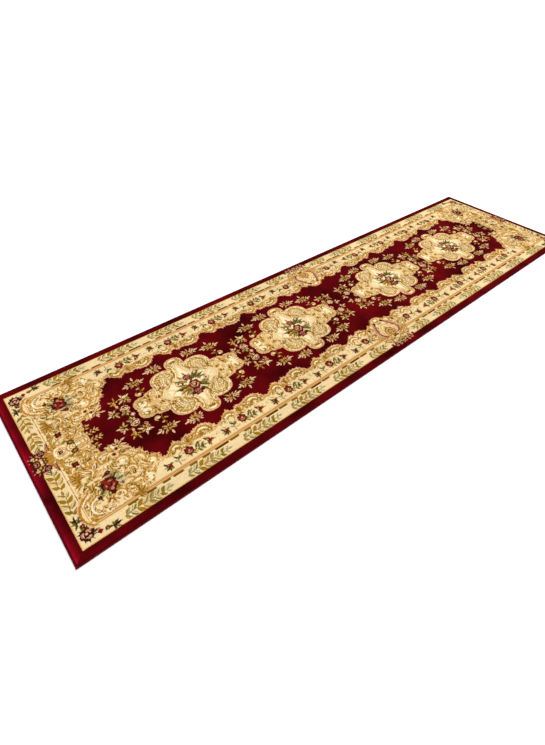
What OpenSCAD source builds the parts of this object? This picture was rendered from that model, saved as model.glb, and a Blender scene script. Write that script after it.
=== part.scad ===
// A floral runner rug, woven with cut pile on a ground weave, with overcast edges.
// Millimetres. +X runs along the runner, +Y across it, +Z up. The origin is the centre of the underside.
// The pile is a mosaic: each colour area is a solid that stands on the ground weave beside its neighbours.

/* [Rug] */
// Length of the runner
rug_length = 3000; // [2900:10:3200]
// Width of the runner
rug_width = 800; // [790:5:840]
// Thickness of the latex coat on the underside
coat_thickness = 0.6; // [0.4:0.1:1.2]
// Thickness of the jute and cotton ground weave
weave_thickness = 2.4; // [1.5:0.1:3]
// Height of the cut pile above the weave
pile_height = 6; // [5:0.5:12]

/* [Edge] */
// Width of the overcast yarn on every edge
serging_width = 7; // [6:0.5:9]
// Height of the overcast yarn
serging_height = 6.4; // [5:0.2:7]

/* [Border] */
// Distance from the rug's edge to the inner side of the plain outer band
band_edge = 34; // [30:1:38]
// Distance from the rug's edge to the dashed line
dash_start = 79; // [76:1:80]
// Distance from the rug's edge to the gold stripe
gold_start = 84; // [82:1:86]
// Distance from the rug's edge to the inner border's ground
border_start = 100; // [94:1:104]
// Distance from a long edge to the notches between the scallops
scallop_foot = 168; // [160:1:172]
// Distance from an end to the field, between the lobes
end_foot = 168; // [160:1:172]
// Length of one repeat of the scallops and of the border's roses
border_repeat = 226.5; // [220:0.5:230]
// Distance from an end to the last notch before the side cartouche
last_notch = 1265; // [1240:1:1280]
// Width of the gold edging that follows the scallops and the medallions
edging_width = 7; // [4:0.5:9]

/* [Medallions] */
// Distance from an end to the centre of the first medallion
first_medallion = 626; // [610:1:640]
// Distance between the two medallions of one half
medallion_pitch = 550; // [540:1:600]

/* [Hidden] */
$fn = 48;

weave_base = coat_thickness;
pile_base = coat_thickness + weave_thickness;
half_length = rug_length / 2;
half_width = rug_width / 2;

BURGUNDY = "#6a0a18";
CRIMSON = "#8c1020";
IVORY = "#eed9a0";
GOLD = "#c79a45";
PALE_GOLD = "#dcbb74";
OLIVE = "#8a7c35";
SAGE = "#9c9a6c";
BROWN = "#4a2414";
MAROON = "#5c1018";
JUTE = "#b89a6a";
LATEX = "#d8d2c0";

// Notches of the first half's scallops, as distances from the end
notches = [for (k = [4:-1:0]) last_notch - k * border_repeat];
// Centres of the four medallions along the runner
medallion_places = [
    first_medallion - half_length,
    first_medallion + medallion_pitch - half_length,
    half_length - first_medallion - medallion_pitch,
    half_length - first_medallion
];

// ---------------------------------------------------------------- placing

// Repeats a shape drawn from the near front corner in all four corners
module quarters() {
    for (turn_x = [0, 1], turn_y = [0, 1])
        mirror([turn_x, 0, 0]) mirror([0, turn_y, 0])
            translate([-half_length, -half_width]) children();
}

// Repeats a shape drawn from the middle of the near end at both ends
module both_ends() {
    for (turn = [0, 1])
        mirror([turn, 0, 0]) translate([-half_length, 0]) children();
}

// Repeats a shape drawn from the middle of the front edge on both long edges
module both_sides() {
    for (turn = [0, 1])
        mirror([0, turn, 0]) translate([0, -half_width]) children();
}

// Repeats a shape on both sides of a line through the origin
module paired_x() {
    children();
    mirror([1, 0, 0]) children();
}
module paired_y() {
    children();
    mirror([0, 1, 0]) children();
}

// The rug's rectangle, drawn in by a distance on every edge
module inset(distance) {
    square([rug_length - 2 * distance, rug_width - 2 * distance], center = true);
}

// The pile of one colour area
module pile() {
    translate([0, 0, pile_base]) linear_extrude(pile_height) children();
}

// ---------------------------------------------------------------- motifs

function turned(point, angle) =
    [point.x * cos(angle) - point.y * sin(angle), point.x * sin(angle) + point.y * cos(angle)];

// The shoulders and the tip of a leaf that starts at a foot and points along an angle
function leaf_points(foot, length, width, angle) =
    [for (point = [[0.42, -0.5], [1, 0], [0.42, 0.5]])
        foot + turned([point.x * length, point.y * width], angle)];

// A stem along +X with pairs of leaves and one at its tip
module sprig(pairs, step, leaf_length, leaf_width) {
    stem = 3;
    lean = 40;
    polygon([
        for (k = [0:pairs - 1]) each [
            [k * step, -stem / 2],
            each leaf_points([k * step, -stem / 2], leaf_length, leaf_width, -lean),
            [k * step + stem, -stem / 2]
        ],
        each leaf_points([pairs * step, 0], leaf_length, leaf_width, 0),
        for (k = [pairs - 1:-1:0]) each [
            [k * step + stem, stem / 2],
            each leaf_points([k * step, stem / 2], leaf_length, leaf_width, lean),
            [k * step, stem / 2]
        ]
    ]);
}

// A palm of leaves about the direction +X, each as wide as its share of the spread allows
module fan(count, spread, leaf_length) {
    share = spread / (count - 1);
    width = 0.84 * leaf_length * tan(0.46 * share);
    valley = 0.25 * leaf_length;
    polygon([
        [0, 0],
        for (k = [0:count - 1]) each [
            each leaf_points([0, 0], leaf_length, width, -spread / 2 + k * share),
            if (k < count - 1) turned([valley, 0], -spread / 2 + (k + 0.5) * share)
        ]
    ]);
}

// An open rose: a disc with petals standing round it
module rose(radius, petals = 6) {
    petal = radius * 0.42;
    circle(radius - petal * 0.6);
    for (k = [0:petals - 1])
        rotate(k * 360 / petals) translate([radius - petal, 0]) circle(petal);
}

// A C-scroll: part of a ring, from one angle to another, with a curl at each end
module scroll(radius, width, from, to) {
    reach = radius + width;
    span = to - from;
    intersection() {
        difference() {
            circle(radius + width / 2);
            circle(radius - width / 2);
        }
        polygon([[0, 0], for (k = [0:4]) reach * 1.5 * [cos(from + k * span / 4), sin(from + k * span / 4)]]);
    }
    for (turn = [from, to])
        rotate(turn) translate([radius, 0]) circle(width * 0.9);
}

// ---------------------------------------------------------------- outlines

// The inner border's outer shape towards the field: strips and round lobes. A negative growth draws it in.
module border_outline(growth) {
    difference() {
        inset(border_start);
        square([rug_length - 2 * (end_foot + growth), rug_width - 2 * (scallop_foot + growth)], center = true);
    }
    quarters() {
        for (notch = notches) {
            translate([notch + 55, 165]) circle(32 + growth);
            translate([notch + 111, 176]) circle(20 + growth);
            translate([notch + 178, 161]) circle(41 + growth);
        }
        for (lobe = [[235, 275, 45], [262, 262, 42], [290, 215, 40], [320, 178, 37], [175, 300, 38], [166, 345, 40]])
            translate([lobe.x, lobe.y]) circle(lobe.z + growth);
    }
    both_ends() translate([170, 0]) circle(39 + growth);
    both_sides() {
        translate([0, 150]) circle(60 + growth);
        paired_x() translate([62, 146]) circle(44 + growth);
        paired_x() translate([128, 150]) circle(36 + growth);
    }
}

// A medallion's outline about its own centre. A negative growth draws it in.
module medallion_outline(growth) {
    circle(126 + growth);
    paired_x() paired_y() {
        translate([75, 80]) circle(50 + growth);
        translate([126, 68]) circle(27 + growth);
        translate([160, 42]) circle(30 + growth);
        translate([200, 24]) circle(27 + growth);
    }
    paired_y() translate([0, 142]) circle(27 + growth);
    square([400 + 2 * growth, 60 + 2 * growth], center = true);
}

// ---------------------------------------------------------------- flower families

module garlands() {
    middle = 56;
    quarters() {
        for (notch = notches)
            translate([notch + 34, middle]) sprig(4, 33, 29, 13);
        translate([176, middle]) sprig(3, 33, 29, 13);
        for (place = [155, 268])
            translate([60, place]) rotate(90) sprig(2, 28, 29, 13);
    }
}

module dashes() {
    long_dash = 44;
    gap = 13;
    step = long_dash + gap;
    side_count = floor((half_length - border_start - 70) / step);
    end_count = floor((half_width - border_start - 60) / step);
    dash = gold_start - dash_start;
    quarters() {
        for (k = [0:side_count - 1])
            translate([border_start + 20 + k * step, dash_start]) square([long_dash, dash]);
        for (k = [0:end_count - 1])
            translate([dash_start, border_start + 20 + k * step]) square([dash, long_dash]);
    }
}

module border_roses() {
    quarters() for (notch = notches) {
        translate([notch + 92, 135]) rose(17);
        translate([notch + 12, 123]) rose(9, 5);
        translate([notch + 168, 130]) rose(9, 5);
    }
}

module border_leaves() {
    quarters() for (notch = notches) {
        translate([notch + 92, 135]) difference() {
            union() {
                rotate(-38) fan(2, 50, 40);
                rotate(14) fan(3, 50, 50);
                rotate(205) fan(2, 50, 34);
            }
            circle(20);
        }
        translate([notch + 40, 120]) rotate(20) fan(3, 90, 20);
    }
}

module corner_scrolls() {
    quarters() {
        translate([132, 132]) {
            scroll(58, 9, 100, 260);
            scroll(36, 7, 110, 250);
        }
        translate([122, 285]) rotate(80) fan(5, 150, 38);
        translate([285, 128]) rotate(15) fan(5, 150, 36);
    }
}

module corner_roses() {
    quarters() translate([60, 72]) {
        rose(19);
        rotate(80) translate([24, 0]) fan(2, 50, 30);
        rotate(-8) translate([24, 0]) fan(2, 50, 30);
    }
}

module corner_bouquets() {
    quarters() translate([186, 184]) {
        rose(25, 7);
        for (place = [[9, 46, 10], [-44, -26, 6]])
            translate([place.x, place.y]) rose(place.z, 5);
        difference() {
            union() {
                rotate(200) fan(3, 70, 46);
                rotate(25) fan(3, 80, 56);
                rotate(150) fan(2, 50, 44);
            }
            circle(28);
            for (place = [[9, 46, 12], [-44, -26, 8]])
                translate([place.x, place.y]) circle(place.z);
        }
    }
}

module end_cartouches() {
    both_ends() {
        translate([118, 0]) difference() {
            circle(34);
            circle(10);
        }
        paired_y() translate([82, 52]) scroll(15, 6, 20, 200);
        translate([172, 0]) fan(5, 120, 26);
    }
}

module end_flowers() {
    both_ends() {
        paired_y() translate([40, 21]) rose(21);
        paired_y() translate([150, 25]) rose(11, 5);
        paired_y() translate([132, 76]) rose(11, 4);
        translate([118, 0]) circle(9);
    }
}

module side_cartouches() {
    both_sides() {
        translate([0, 132]) difference() {
            circle(36);
            circle(22);
        }
        paired_x() translate([62, 140]) scroll(34, 8, -60, 150);
        paired_x() translate([0, 62]) rotate(10) translate([12, 0]) sprig(2, 16, 20, 8);
    }
}

module side_fans() {
    both_sides() {
        translate([0, 66]) rotate(90) fan(5, 130, 28);
        paired_x() translate([40, 34]) rose(14, 5);
        translate([0, 30]) rose(16, 6);
    }
}

module shells() {
    for (place = medallion_places)
        translate([place, 0]) {
            paired_x() paired_y() translate([66, 68]) rotate(45) fan(5, 150, 42);
            paired_y() translate([0, 128]) rotate(90) fan(3, 90, 26);
            paired_x() paired_y() translate([186, 26]) scroll(15, 5, -60, 190);
        }
}

module bouquets() {
    for (place = medallion_places)
        translate([place, 0]) {
            translate([10, -15]) rose(22);
            translate([0, 38]) rose(15, 5);
            translate([0, -52]) rose(18);
            translate([58, -8]) rose(10, 5);
            difference() {
                union() {
                    translate([-14, -12]) rotate(180) fan(3, 80, 48);
                    translate([-8, 20]) rotate(150) fan(2, 40, 42);
                    translate([14, 16]) rotate(35) fan(3, 60, 44);
                    translate([14, -34]) rotate(-12) fan(2, 50, 42);
                }
                translate([10, -15]) circle(24);
                translate([0, 38]) circle(17);
                translate([0, -52]) circle(20);
                translate([58, -8]) circle(12);
            }
        }
}

module sprays() {
    for (place = medallion_places)
        translate([place, 0]) paired_x() paired_y() {
            translate([168, 118]) rotate(60) fan(5, 200, 34);
            translate([62, 172]) rotate(20) sprig(2, 16, 22, 9);
            translate([188, 80]) rotate(20) fan(2, 60, 24);
        }
    both_ends() paired_y() {
        translate([322, 38]) rotate(210) fan(5, 200, 30);
        translate([232, 20]) sprig(2, 14, 20, 8);
    }
    for (centre = [-1, 0, 1])
        translate([centre * (medallion_places[3] + medallion_places[2]) / 2, 0]) paired_x() paired_y()
            translate([16, 38]) rotate(60) fan(5, 190, 28);
}

module buds() {
    for (place = medallion_places)
        translate([place, 0]) paired_x() paired_y() translate([148, 148]) rose(12, 5);
    both_ends() paired_y() translate([368, 46]) rose(14);
    for (centre = [-1, 0, 1])
        translate([centre * (medallion_places[3] + medallion_places[2]) / 2, 0]) paired_y()
            translate([0, 82]) rose(13, 5);
}

// ---------------------------------------------------------------- foundation and edges

module latex_back_coat() {
    color(LATEX) linear_extrude(coat_thickness) inset(serging_width);
}

module ground_weave() {
    color(JUTE) translate([0, 0, weave_base]) linear_extrude(weave_thickness) inset(serging_width);
}

// A bar of overcast yarn along +X, round on its outer side and flat where it meets the weave
module edge_bar(length) {
    radius = serging_height / 2;
    rotate([90, 0, 90]) linear_extrude(length, center = true) {
        translate([radius, radius]) circle(radius);
        translate([radius, 0]) square([serging_width - radius, serging_height]);
    }
}

module serging_front() {
    color(CRIMSON) translate([0, -half_width, 0]) edge_bar(rug_length);
}

module serging_back() {
    color(CRIMSON) mirror([0, 1, 0]) translate([0, -half_width, 0]) edge_bar(rug_length);
}

module binding_near() {
    color(CRIMSON) translate([-half_length, 0, 0]) rotate(-90) edge_bar(rug_width - 2 * serging_width);
}

module binding_far() {
    color(CRIMSON) mirror([1, 0, 0]) translate([-half_length, 0, 0]) rotate(-90)
        edge_bar(rug_width - 2 * serging_width);
}

// ---------------------------------------------------------------- pile

module pile_outer_band() {
    color(BURGUNDY) pile() difference() {
        inset(serging_width);
        inset(band_edge);
        end_flowers();
        side_fans();
    }
}

module pile_guard_stripe() {
    color(IVORY) pile() difference() {
        inset(band_edge);
        inset(gold_start);
        garlands();
        dashes();
        corner_roses();
        corner_scrolls();
        end_cartouches();
        end_flowers();
        side_cartouches();
        side_fans();
    }
}

module pile_guard_garlands() {
    color(OLIVE) pile() garlands();
}

module pile_dashed_line() {
    color(BROWN) pile() difference() {
        dashes();
        corner_roses();
        corner_scrolls();
        end_cartouches();
        end_flowers();
        side_cartouches();
        side_fans();
    }
}

module pile_gold_stripe() {
    color(PALE_GOLD) pile() difference() {
        inset(gold_start);
        inset(border_start);
        corner_roses();
        corner_scrolls();
        end_cartouches();
        end_flowers();
        side_cartouches();
        side_fans();
    }
}

module pile_border_ground() {
    color(IVORY) pile() difference() {
        border_outline(-edging_width);
        border_roses();
        border_leaves();
        corner_roses();
        corner_scrolls();
        corner_bouquets();
        end_cartouches();
        end_flowers();
        side_cartouches();
        side_fans();
    }
}

module pile_scallop_edging() {
    color(GOLD) pile() difference() {
        border_outline(0);
        border_outline(-edging_width);
        end_cartouches();
        corner_bouquets();
        corner_scrolls();
    }
}

module pile_border_roses() {
    color(MAROON) pile() border_roses();
}

module pile_border_leaves() {
    color(OLIVE) pile() difference() {
        border_leaves();
        border_roses();
    }
}

module pile_corner_scrolls() {
    color(GOLD) pile() difference() {
        corner_scrolls();
        corner_roses();
        corner_bouquets();
    }
}

module pile_corner_roses() {
    color(BROWN) pile() corner_roses();
}

module pile_corner_bouquets() {
    color(MAROON) pile() corner_bouquets();
}

module pile_end_cartouches() {
    color(GOLD) pile() difference() {
        end_cartouches();
        end_flowers();
    }
}

module pile_end_flowers() {
    color(MAROON) pile() end_flowers();
}

module pile_side_cartouches() {
    color(GOLD) pile() difference() {
        side_cartouches();
        side_fans();
    }
}

module pile_side_fans() {
    color(BROWN) pile() side_fans();
}

module pile_field() {
    color(BURGUNDY) pile() difference() {
        inset(border_start);
        border_outline(0);
        for (place = medallion_places)
            translate([place, 0]) medallion_outline(0);
        sprays();
        buds();
    }
}

module pile_medallion(index) {
    color(IVORY) pile() difference() {
        translate([medallion_places[index], 0]) medallion_outline(-edging_width);
        shells();
        bouquets();
    }
}

module pile_medallion_edging() {
    color(GOLD) pile() difference() {
        for (place = medallion_places)
            translate([place, 0]) difference() {
                medallion_outline(0);
                medallion_outline(-edging_width);
            }
        shells();
    }
}

module pile_medallion_shells() {
    color(PALE_GOLD) pile() difference() {
        shells();
        bouquets();
    }
}

module pile_medallion_bouquets() {
    color(CRIMSON) pile() bouquets();
}

module pile_field_sprays() {
    color(SAGE) pile() difference() {
        sprays();
        buds();
        border_outline(0);
        for (place = medallion_places)
            translate([place, 0]) medallion_outline(0);
    }
}

module pile_field_buds() {
    color(CRIMSON) pile() buds();
}

latex_back_coat();
ground_weave();
serging_front();
serging_back();
binding_near();
binding_far();
pile_outer_band();
pile_guard_stripe();
pile_guard_garlands();
pile_dashed_line();
pile_gold_stripe();
pile_border_ground();
pile_scallop_edging();
pile_border_roses();
pile_border_leaves();
pile_corner_scrolls();
pile_corner_roses();
pile_corner_bouquets();
pile_end_cartouches();
pile_end_flowers();
pile_side_cartouches();
pile_side_fans();
pile_field();
pile_medallion(0);  // pile_medallion_1
pile_medallion(1);  // pile_medallion_2
pile_medallion(2);  // pile_medallion_3
pile_medallion(3);  // pile_medallion_4
pile_medallion_edging();
pile_medallion_shells();
pile_medallion_bouquets();
pile_field_sprays();
pile_field_buds();
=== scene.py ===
"""The looks of a floral runner rug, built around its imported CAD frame.

The pattern is drawn first, the way a carpet designer works: on point paper with one square per tuft,
in millimetres from the near front corner of the rug. A quarter is drawn and mirrored, and the flower
bouquets, which are the same way up everywhere, are drawn last. Then every square becomes a tuft of
cut pile in its own yarn, and each colour area is one piece that stands for its CAD node.
"""

import math

import bpy
import numpy as np
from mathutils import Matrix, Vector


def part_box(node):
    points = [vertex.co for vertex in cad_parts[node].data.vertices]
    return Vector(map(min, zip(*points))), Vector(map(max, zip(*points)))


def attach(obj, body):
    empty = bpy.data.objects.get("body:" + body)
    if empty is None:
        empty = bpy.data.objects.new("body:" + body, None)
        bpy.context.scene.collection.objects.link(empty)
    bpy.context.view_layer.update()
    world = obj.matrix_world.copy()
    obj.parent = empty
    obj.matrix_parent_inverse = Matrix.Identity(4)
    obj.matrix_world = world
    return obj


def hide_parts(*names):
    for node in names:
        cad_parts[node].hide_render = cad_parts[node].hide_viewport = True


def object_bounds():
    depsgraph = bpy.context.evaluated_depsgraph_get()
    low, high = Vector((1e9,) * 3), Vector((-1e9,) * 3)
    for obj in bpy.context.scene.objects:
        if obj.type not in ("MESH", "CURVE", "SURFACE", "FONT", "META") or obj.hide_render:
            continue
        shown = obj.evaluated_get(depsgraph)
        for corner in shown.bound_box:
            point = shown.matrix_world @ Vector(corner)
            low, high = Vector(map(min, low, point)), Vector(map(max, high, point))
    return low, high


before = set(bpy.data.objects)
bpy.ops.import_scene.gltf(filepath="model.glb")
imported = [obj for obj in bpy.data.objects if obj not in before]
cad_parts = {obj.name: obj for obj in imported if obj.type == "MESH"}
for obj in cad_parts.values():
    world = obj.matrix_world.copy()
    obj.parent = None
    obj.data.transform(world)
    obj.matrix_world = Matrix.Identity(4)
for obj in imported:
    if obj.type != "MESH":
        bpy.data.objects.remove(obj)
cad_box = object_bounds()

# ---------------------------------------------------------------- sizes

MM = 0.001
KNOT = 2.5  # mm between tufts, along and across
LENGTH, WIDTH = 3000, 800  # mm
HALF_LENGTH, HALF_WIDTH = LENGTH / 2, WIDTH / 2
SERGING = 7  # mm of overcast yarn on every edge
BAND_EDGE = 34  # mm from the edge to the inner side of the plain band
DASH_LINE = 79
GOLD_STRIPE = 84
BORDER = 100
REPEAT = 226.5  # mm of one repeat of the border
NOTCHES = [1265 - k * REPEAT for k in (4, 3, 2, 1, 0)]
CORNER_END = 368  # mm, where the corner ends and the first scallop, which is shorter, begins
MEDALLIONS = (626, 1176)  # mm from the end, in the half that is drawn
ROW = HALF_WIDTH  # the middle line of the rug

FAR_GLOW = 10.5  # W, the softbox over the far end
FAR_GLOW_SIZE = (2.2, 1.6)  # m
FAR_GLOW_PLACE = (1.35, 0.3, 1.7)  # m
SUN_POWER = 1.05
SUN_SPREAD = 50  # degrees
SUN_TURN = (38, 12, 60)  # degrees
FLOOR_HALF = 40  # m
FLOOR_PLACE = -0.0002  # m, under the rug so that the two don't touch
LENS = 20.493  # mm
SENSOR = 36  # mm
CAMERA_PLACE = (-1.3861, -1.0604, 1.2313)  # m
CAMERA_TURN = (44.557, -1.386, -40.045)  # degrees

# ---------------------------------------------------------------- yarns

YARNS = {
    "burgundy": "580408", "crimson": "8c081c", "wine": "40050a", "ivory": "eed5a3", "cream": "f6e6bc",
    "straw": "d4a95f", "gold": "b8822f", "bronze": "8a601b", "olive": "786c26", "moss": "54471e",
    "sage": "a89c6c", "peach": "e2b283", "pink": "c4826a", "red": "8a281a", "maroon": "56110d",
    "brown": "653618", "bark": "3a170d", "mist": "d8cb98", "blush": "ecc48f", "ruby": "700612",
    "sand": "dfbb7a", "antique": "a27a1e", "cherry": "7e0718", "garnet": "65050d",
}
(
    BURGUNDY, CRIMSON_SHEEN, WINE, IVORY, CREAM, STRAW, GOLD, BRONZE, OLIVE, MOSS, SAGE, PEACH, PINK, RED, MAROON,
    BROWN, BARK, MIST, BLUSH, RUBY_SHEEN, SAND, ANTIQUE, CHERRY_SHEEN, GARNET_SHEEN,
) = YARN_NAMES = list(YARNS)
# Every colour area in the order of its number, and its material slot
AREA_SLOTS = {
    "field": "burgundy", "outer_band": "burgundy", "guard_stripe": "ivory", "guard_garlands": "olive",
    "dashed_line": "brown", "gold_stripe": "gold", "border_ground": "ivory", "scallop_edging": "gold",
    "border_roses": "flower", "border_leaves": "olive", "corner_scrolls": "gold", "corner_roses": "flower",
    "corner_bouquets": "flower", "end_cartouches": "gold", "end_flowers": "flower",
    "side_cartouches": "gold", "side_fans": "brown", "medallion_1": "ivory", "medallion_2": "ivory",
    "medallion_3": "ivory", "medallion_4": "ivory", "medallion_edging": "gold", "medallion_shells": "gold",
    "medallion_bouquets": "flower", "field_sprays": "olive", "field_buds": "flower",
}
AREAS = [f"pile_{area}" for area in AREA_SLOTS]

# ---------------------------------------------------------------- point paper


def polar(angle, radius):
    return np.array([math.cos(math.radians(angle)), math.sin(math.radians(angle))]) * radius


def placed(points, place, turn):
    """Points turned about the origin and then moved to a place."""
    c, s = math.cos(math.radians(turn)), math.sin(math.radians(turn))
    p = np.asarray(points, float)
    return np.stack([place[0] + c * p[:, 0] - s * p[:, 1], place[1] + s * p[:, 0] + c * p[:, 1]], 1)


def about(place):
    """A function that gives points about a place."""
    return lambda u, v: np.array([place[0] + u, place[1] + v], float)


from_corner = about((0, 0))


def smooth(points, closed=False, steps=6):
    """A curve through the points (Catmull-Rom)."""
    p = np.asarray(points, float)
    before = np.roll(p, 1, 0) if closed else np.vstack([p[:1], p[:-1]])
    after = np.roll(p, -1, 0) if closed else np.vstack([p[1:], p[-1:]])
    last = np.roll(p, -2, 0) if closed else np.vstack([p[2:], p[-1:], p[-1:]])
    t = np.linspace(0, 1, steps, endpoint=False)[None, :, None]
    a, b, c, d = (x[:, None, :] for x in (before, p, after, last))
    q = 0.5 * (2 * b + (c - a) * t + (2 * a - 5 * b + 4 * c - d) * t**2 + (3 * b - a - 3 * c + d) * t**3)
    curve = q.reshape(-1, 2)
    return curve if closed else np.vstack([curve[: -steps + 1], p[-1:]])


class Paper:
    """Squared paper: every square holds a yarn and the area that the tuft belongs to."""

    def __init__(self, length, width):
        self.yarn = np.zeros((round(length / KNOT), round(width / KNOT)), np.uint8)
        self.area = np.zeros_like(self.yarn)
        self.open = np.ones(self.yarn.shape, bool)
        self.now = 0

    def of(self, area):
        self.now = AREAS.index(area)
        return self

    def only(self, points=None):
        """Keeps what is drawn next inside an outline, or opens the whole paper again."""
        self.open[:] = points is None
        if points is not None:
            where, inside = self.inside(np.asarray(points, float))
            self.open[where] = inside
        return self

    def squares(self, points, reach):
        low, high = points.min(0) - reach, points.max(0) + reach
        i0, j0 = (max(int(x // KNOT), 0) for x in low)
        i1, j1 = (min(int(x // KNOT) + 1, n) for x, n in zip(high, self.yarn.shape))
        u = (np.arange(i0, i1) + 0.5)[:, None] * KNOT
        v = (np.arange(j0, j1) + 0.5)[None, :] * KNOT
        return (slice(i0, i1), slice(j0, j1)), u, v

    def put(self, where, inside, yarn):
        inside = inside & self.open[where]
        self.yarn[where][inside] = YARN_NAMES.index(yarn)
        self.area[where][inside] = self.now

    def inside(self, p):
        """The squares inside a closed outline."""
        where, u, v = self.squares(p, 0)
        inside = np.zeros((u.shape[0], v.shape[1]), bool)
        for (ua, va), (ub, vb) in zip(p, np.roll(p, -1, 0)):
            if va != vb:
                inside ^= ((va > v) != (vb > v)) & (u < (ub - ua) * (v - va) / (vb - va) + ua)
        return where, inside

    def fill(self, points, yarn):
        """Fills a closed outline."""
        self.put(*self.inside(np.asarray(points, float)), yarn)

    def line(self, points, width, yarn):
        p = np.asarray(points, float)
        where, u, v = self.squares(p, width)
        inside = np.zeros((u.shape[0], v.shape[1]), bool)
        for (ua, va), (ub, vb) in zip(p[:-1], p[1:]):
            du, dv = ub - ua, vb - va
            t = np.clip(((u - ua) * du + (v - va) * dv) / max(du * du + dv * dv, 1e-9), 0, 1)
            inside |= (u - ua - t * du) ** 2 + (v - va - t * dv) ** 2 < (width / 2) ** 2
        self.put(where, inside, yarn)

    def disc(self, place, radius, yarn, squash=1.0):
        """Fills a circle that may be squashed, or stretched, across the rug."""
        where, u, v = self.squares(np.array([place], float), radius)
        self.put(where, (u - place[0]) ** 2 + ((v - place[1]) / squash) ** 2 < radius**2, yarn)

    def arc(self, place, radius, start, end, width, yarn, shrink=0.0):
        """Draws part of a circle, or a spiral where shrink is the share of the radius lost on the way."""
        t = np.linspace(0, 1, max(int(abs(end - start) / 15), 3))
        angle, r = np.radians(start + (end - start) * t), radius * (1 - shrink * t)
        self.line(np.stack([place[0] + r * np.cos(angle), place[1] + r * np.sin(angle)], 1), width, yarn)

    def frame(self, outer, inner, yarn):
        """Fills the band between two distances from the rug's edges."""
        u = (np.arange(self.yarn.shape[0]) + 0.5)[:, None] * KNOT
        v = (np.arange(self.yarn.shape[1]) + 0.5)[None, :] * KNOT
        edge = np.minimum(u, v)
        self.put((slice(None), slice(None)), (edge >= outer) & (edge < inner), yarn)


# ---------------------------------------------------------------- motifs


def leaf(paper, foot, turn, yarn, length, width, shade=None, bend=0.0, rim=None):
    """A pointed leaf with a bend to its left.

    Its left side may be shaded, in a yarn or in one that goes by the leaf's, and a rim parts it
    from what is under it.
    """
    t = np.linspace(0, 1, 9)
    middle = bend * 4 * t * (1 - t)
    half = width / 2 * np.sin(np.pi * t**0.8)
    upper = np.stack([t * length, middle + half], 1)
    lower = np.stack([t * length, middle - half], 1)[::-1]
    if rim:
        paper.line(placed(np.vstack([upper, lower]), foot, turn), 4, rim)
    paper.fill(placed(np.vstack([upper, lower]), foot, turn), yarn)
    if isinstance(shade, dict):
        shade = shade.get(yarn)
    if shade:
        side = np.stack([t * length, middle + 0.8 * half], 1)[1:8]
        spine = np.stack([t * length, middle - 0.3], 1)[7:0:-1]
        paper.fill(placed(np.vstack([side, spine]), foot, turn), shade)


def leaves(paper, rows, *same, at=from_corner, side=1):
    """A leaf for each row: (u, v, turn, yarn, length, width, ...), less what all of them share."""
    for u, v, turn, *own in rows:
        leaf(paper, at(side * u, v), turn if side > 0 else 180 - turn, *own, *same)


def fan(paper, foot, rows, *same):
    """Leaves out of one foot: (turn, yarn, length, width, ...), less what all of them share."""
    for row in rows:
        leaf(paper, foot, *row, *same)


def crescent(paper, place, radius, start, end, width, yarn, shrink=0.0):
    """Part of a ring, full in its middle and pointed at its ends."""
    t = np.linspace(0, 1, 13)
    angle, r = np.radians(start + (end - start) * t), radius * (1 - shrink * t)
    half = width / 2 * np.sin(np.pi * t) ** 0.7 + 0.8
    way = np.stack([np.cos(angle), np.sin(angle)], 1)
    outer, inner = way * (r + half)[:, None], (way * (r - half)[:, None])[::-1]
    paper.fill(np.vstack([outer, inner]) + place, yarn)


def crescents(paper, place, rows, side=1):
    """Crescents about one place: (radius, start, end, width, yarn)."""
    for radius, start, end, *rest in rows:
        start, end = (start, end) if side > 0 else (180 - start, 180 - end)
        crescent(paper, place, radius, start, end, *rest)


def scroll(paper, place, radius, start, end, inside=None):
    """A C-scroll: a full gold curve with light along its inside, leaves on its back and a curl at its end."""
    place = np.asarray(place, float)
    if inside:
        paper.disc(place, 0.36 * radius, inside)
    way = 1 if end > start else -1
    for k in range(5):
        angle = start + (end - start) * (k + 0.7) / 5.5
        foot, yarn = place + polar(angle, radius), GOLD if k % 2 else STRAW
        leaf(paper, foot, angle - 50 * way, yarn, 0.42 * radius + 5, 7, None, 1.5 * way)
    crescents(paper, place, [
        (radius, start, end, 0.34 * radius, GOLD, 0.1),
        (0.9 * radius, start + 12 * way, end, 0.16 * radius, STRAW, 0.1),
        (0.72 * radius, start + 20 * way, end, 2.5, CREAM, 0.12),
    ])
    paper.arc(place + polar(end, 0.62 * radius), 0.24 * radius, end, end + 330 * way, 2.8, GOLD, 0.5)


def scrolls(paper, rows):
    """C-scrolls: (u, v, radius, start, end), and the yarn of the disc inside it, if it has one."""
    for u, v, radius, start, end, *inside in rows:
        scroll(paper, (u, v), radius, start, end, inside=inside[0] if inside else None)


def foliage(paper, outline, swirls, yarns, seed, pitch, length, width, rim=IVORY):
    """Small leaves packed inside an outline, turning round the swirls: (u, v, 1 or -1 for the way round)."""
    rng = np.random.default_rng(seed)
    outline = np.asarray(outline, float)
    paper.only(outline)
    low, high = outline.min(0), outline.max(0)
    hubs = np.array(swirls, float)
    for u in np.arange(low[0], high[0], pitch):
        for v in np.arange(low[1], high[1], pitch):
            place = np.array([u, v]) + rng.uniform(-0.4, 0.4, 2) * pitch
            size, turn, pick = rng.uniform(0.7, 1.25), rng.uniform(-28, 28), int(rng.integers(len(yarns)))
            hub = hubs[np.argmin(np.hypot(*(hubs[:, :2] - place).T))]
            away = place - hub[:2]
            angle = math.degrees(math.atan2(away[1], away[0])) + 75 * hub[2] + turn
            yarn, vein = yarns[pick]
            leaf(
                paper, place, angle, yarn, length * size, width * size, vein, 2.5 * hub[2],
                rim if pick % 2 else None,
            )
    paper.only()


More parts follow.
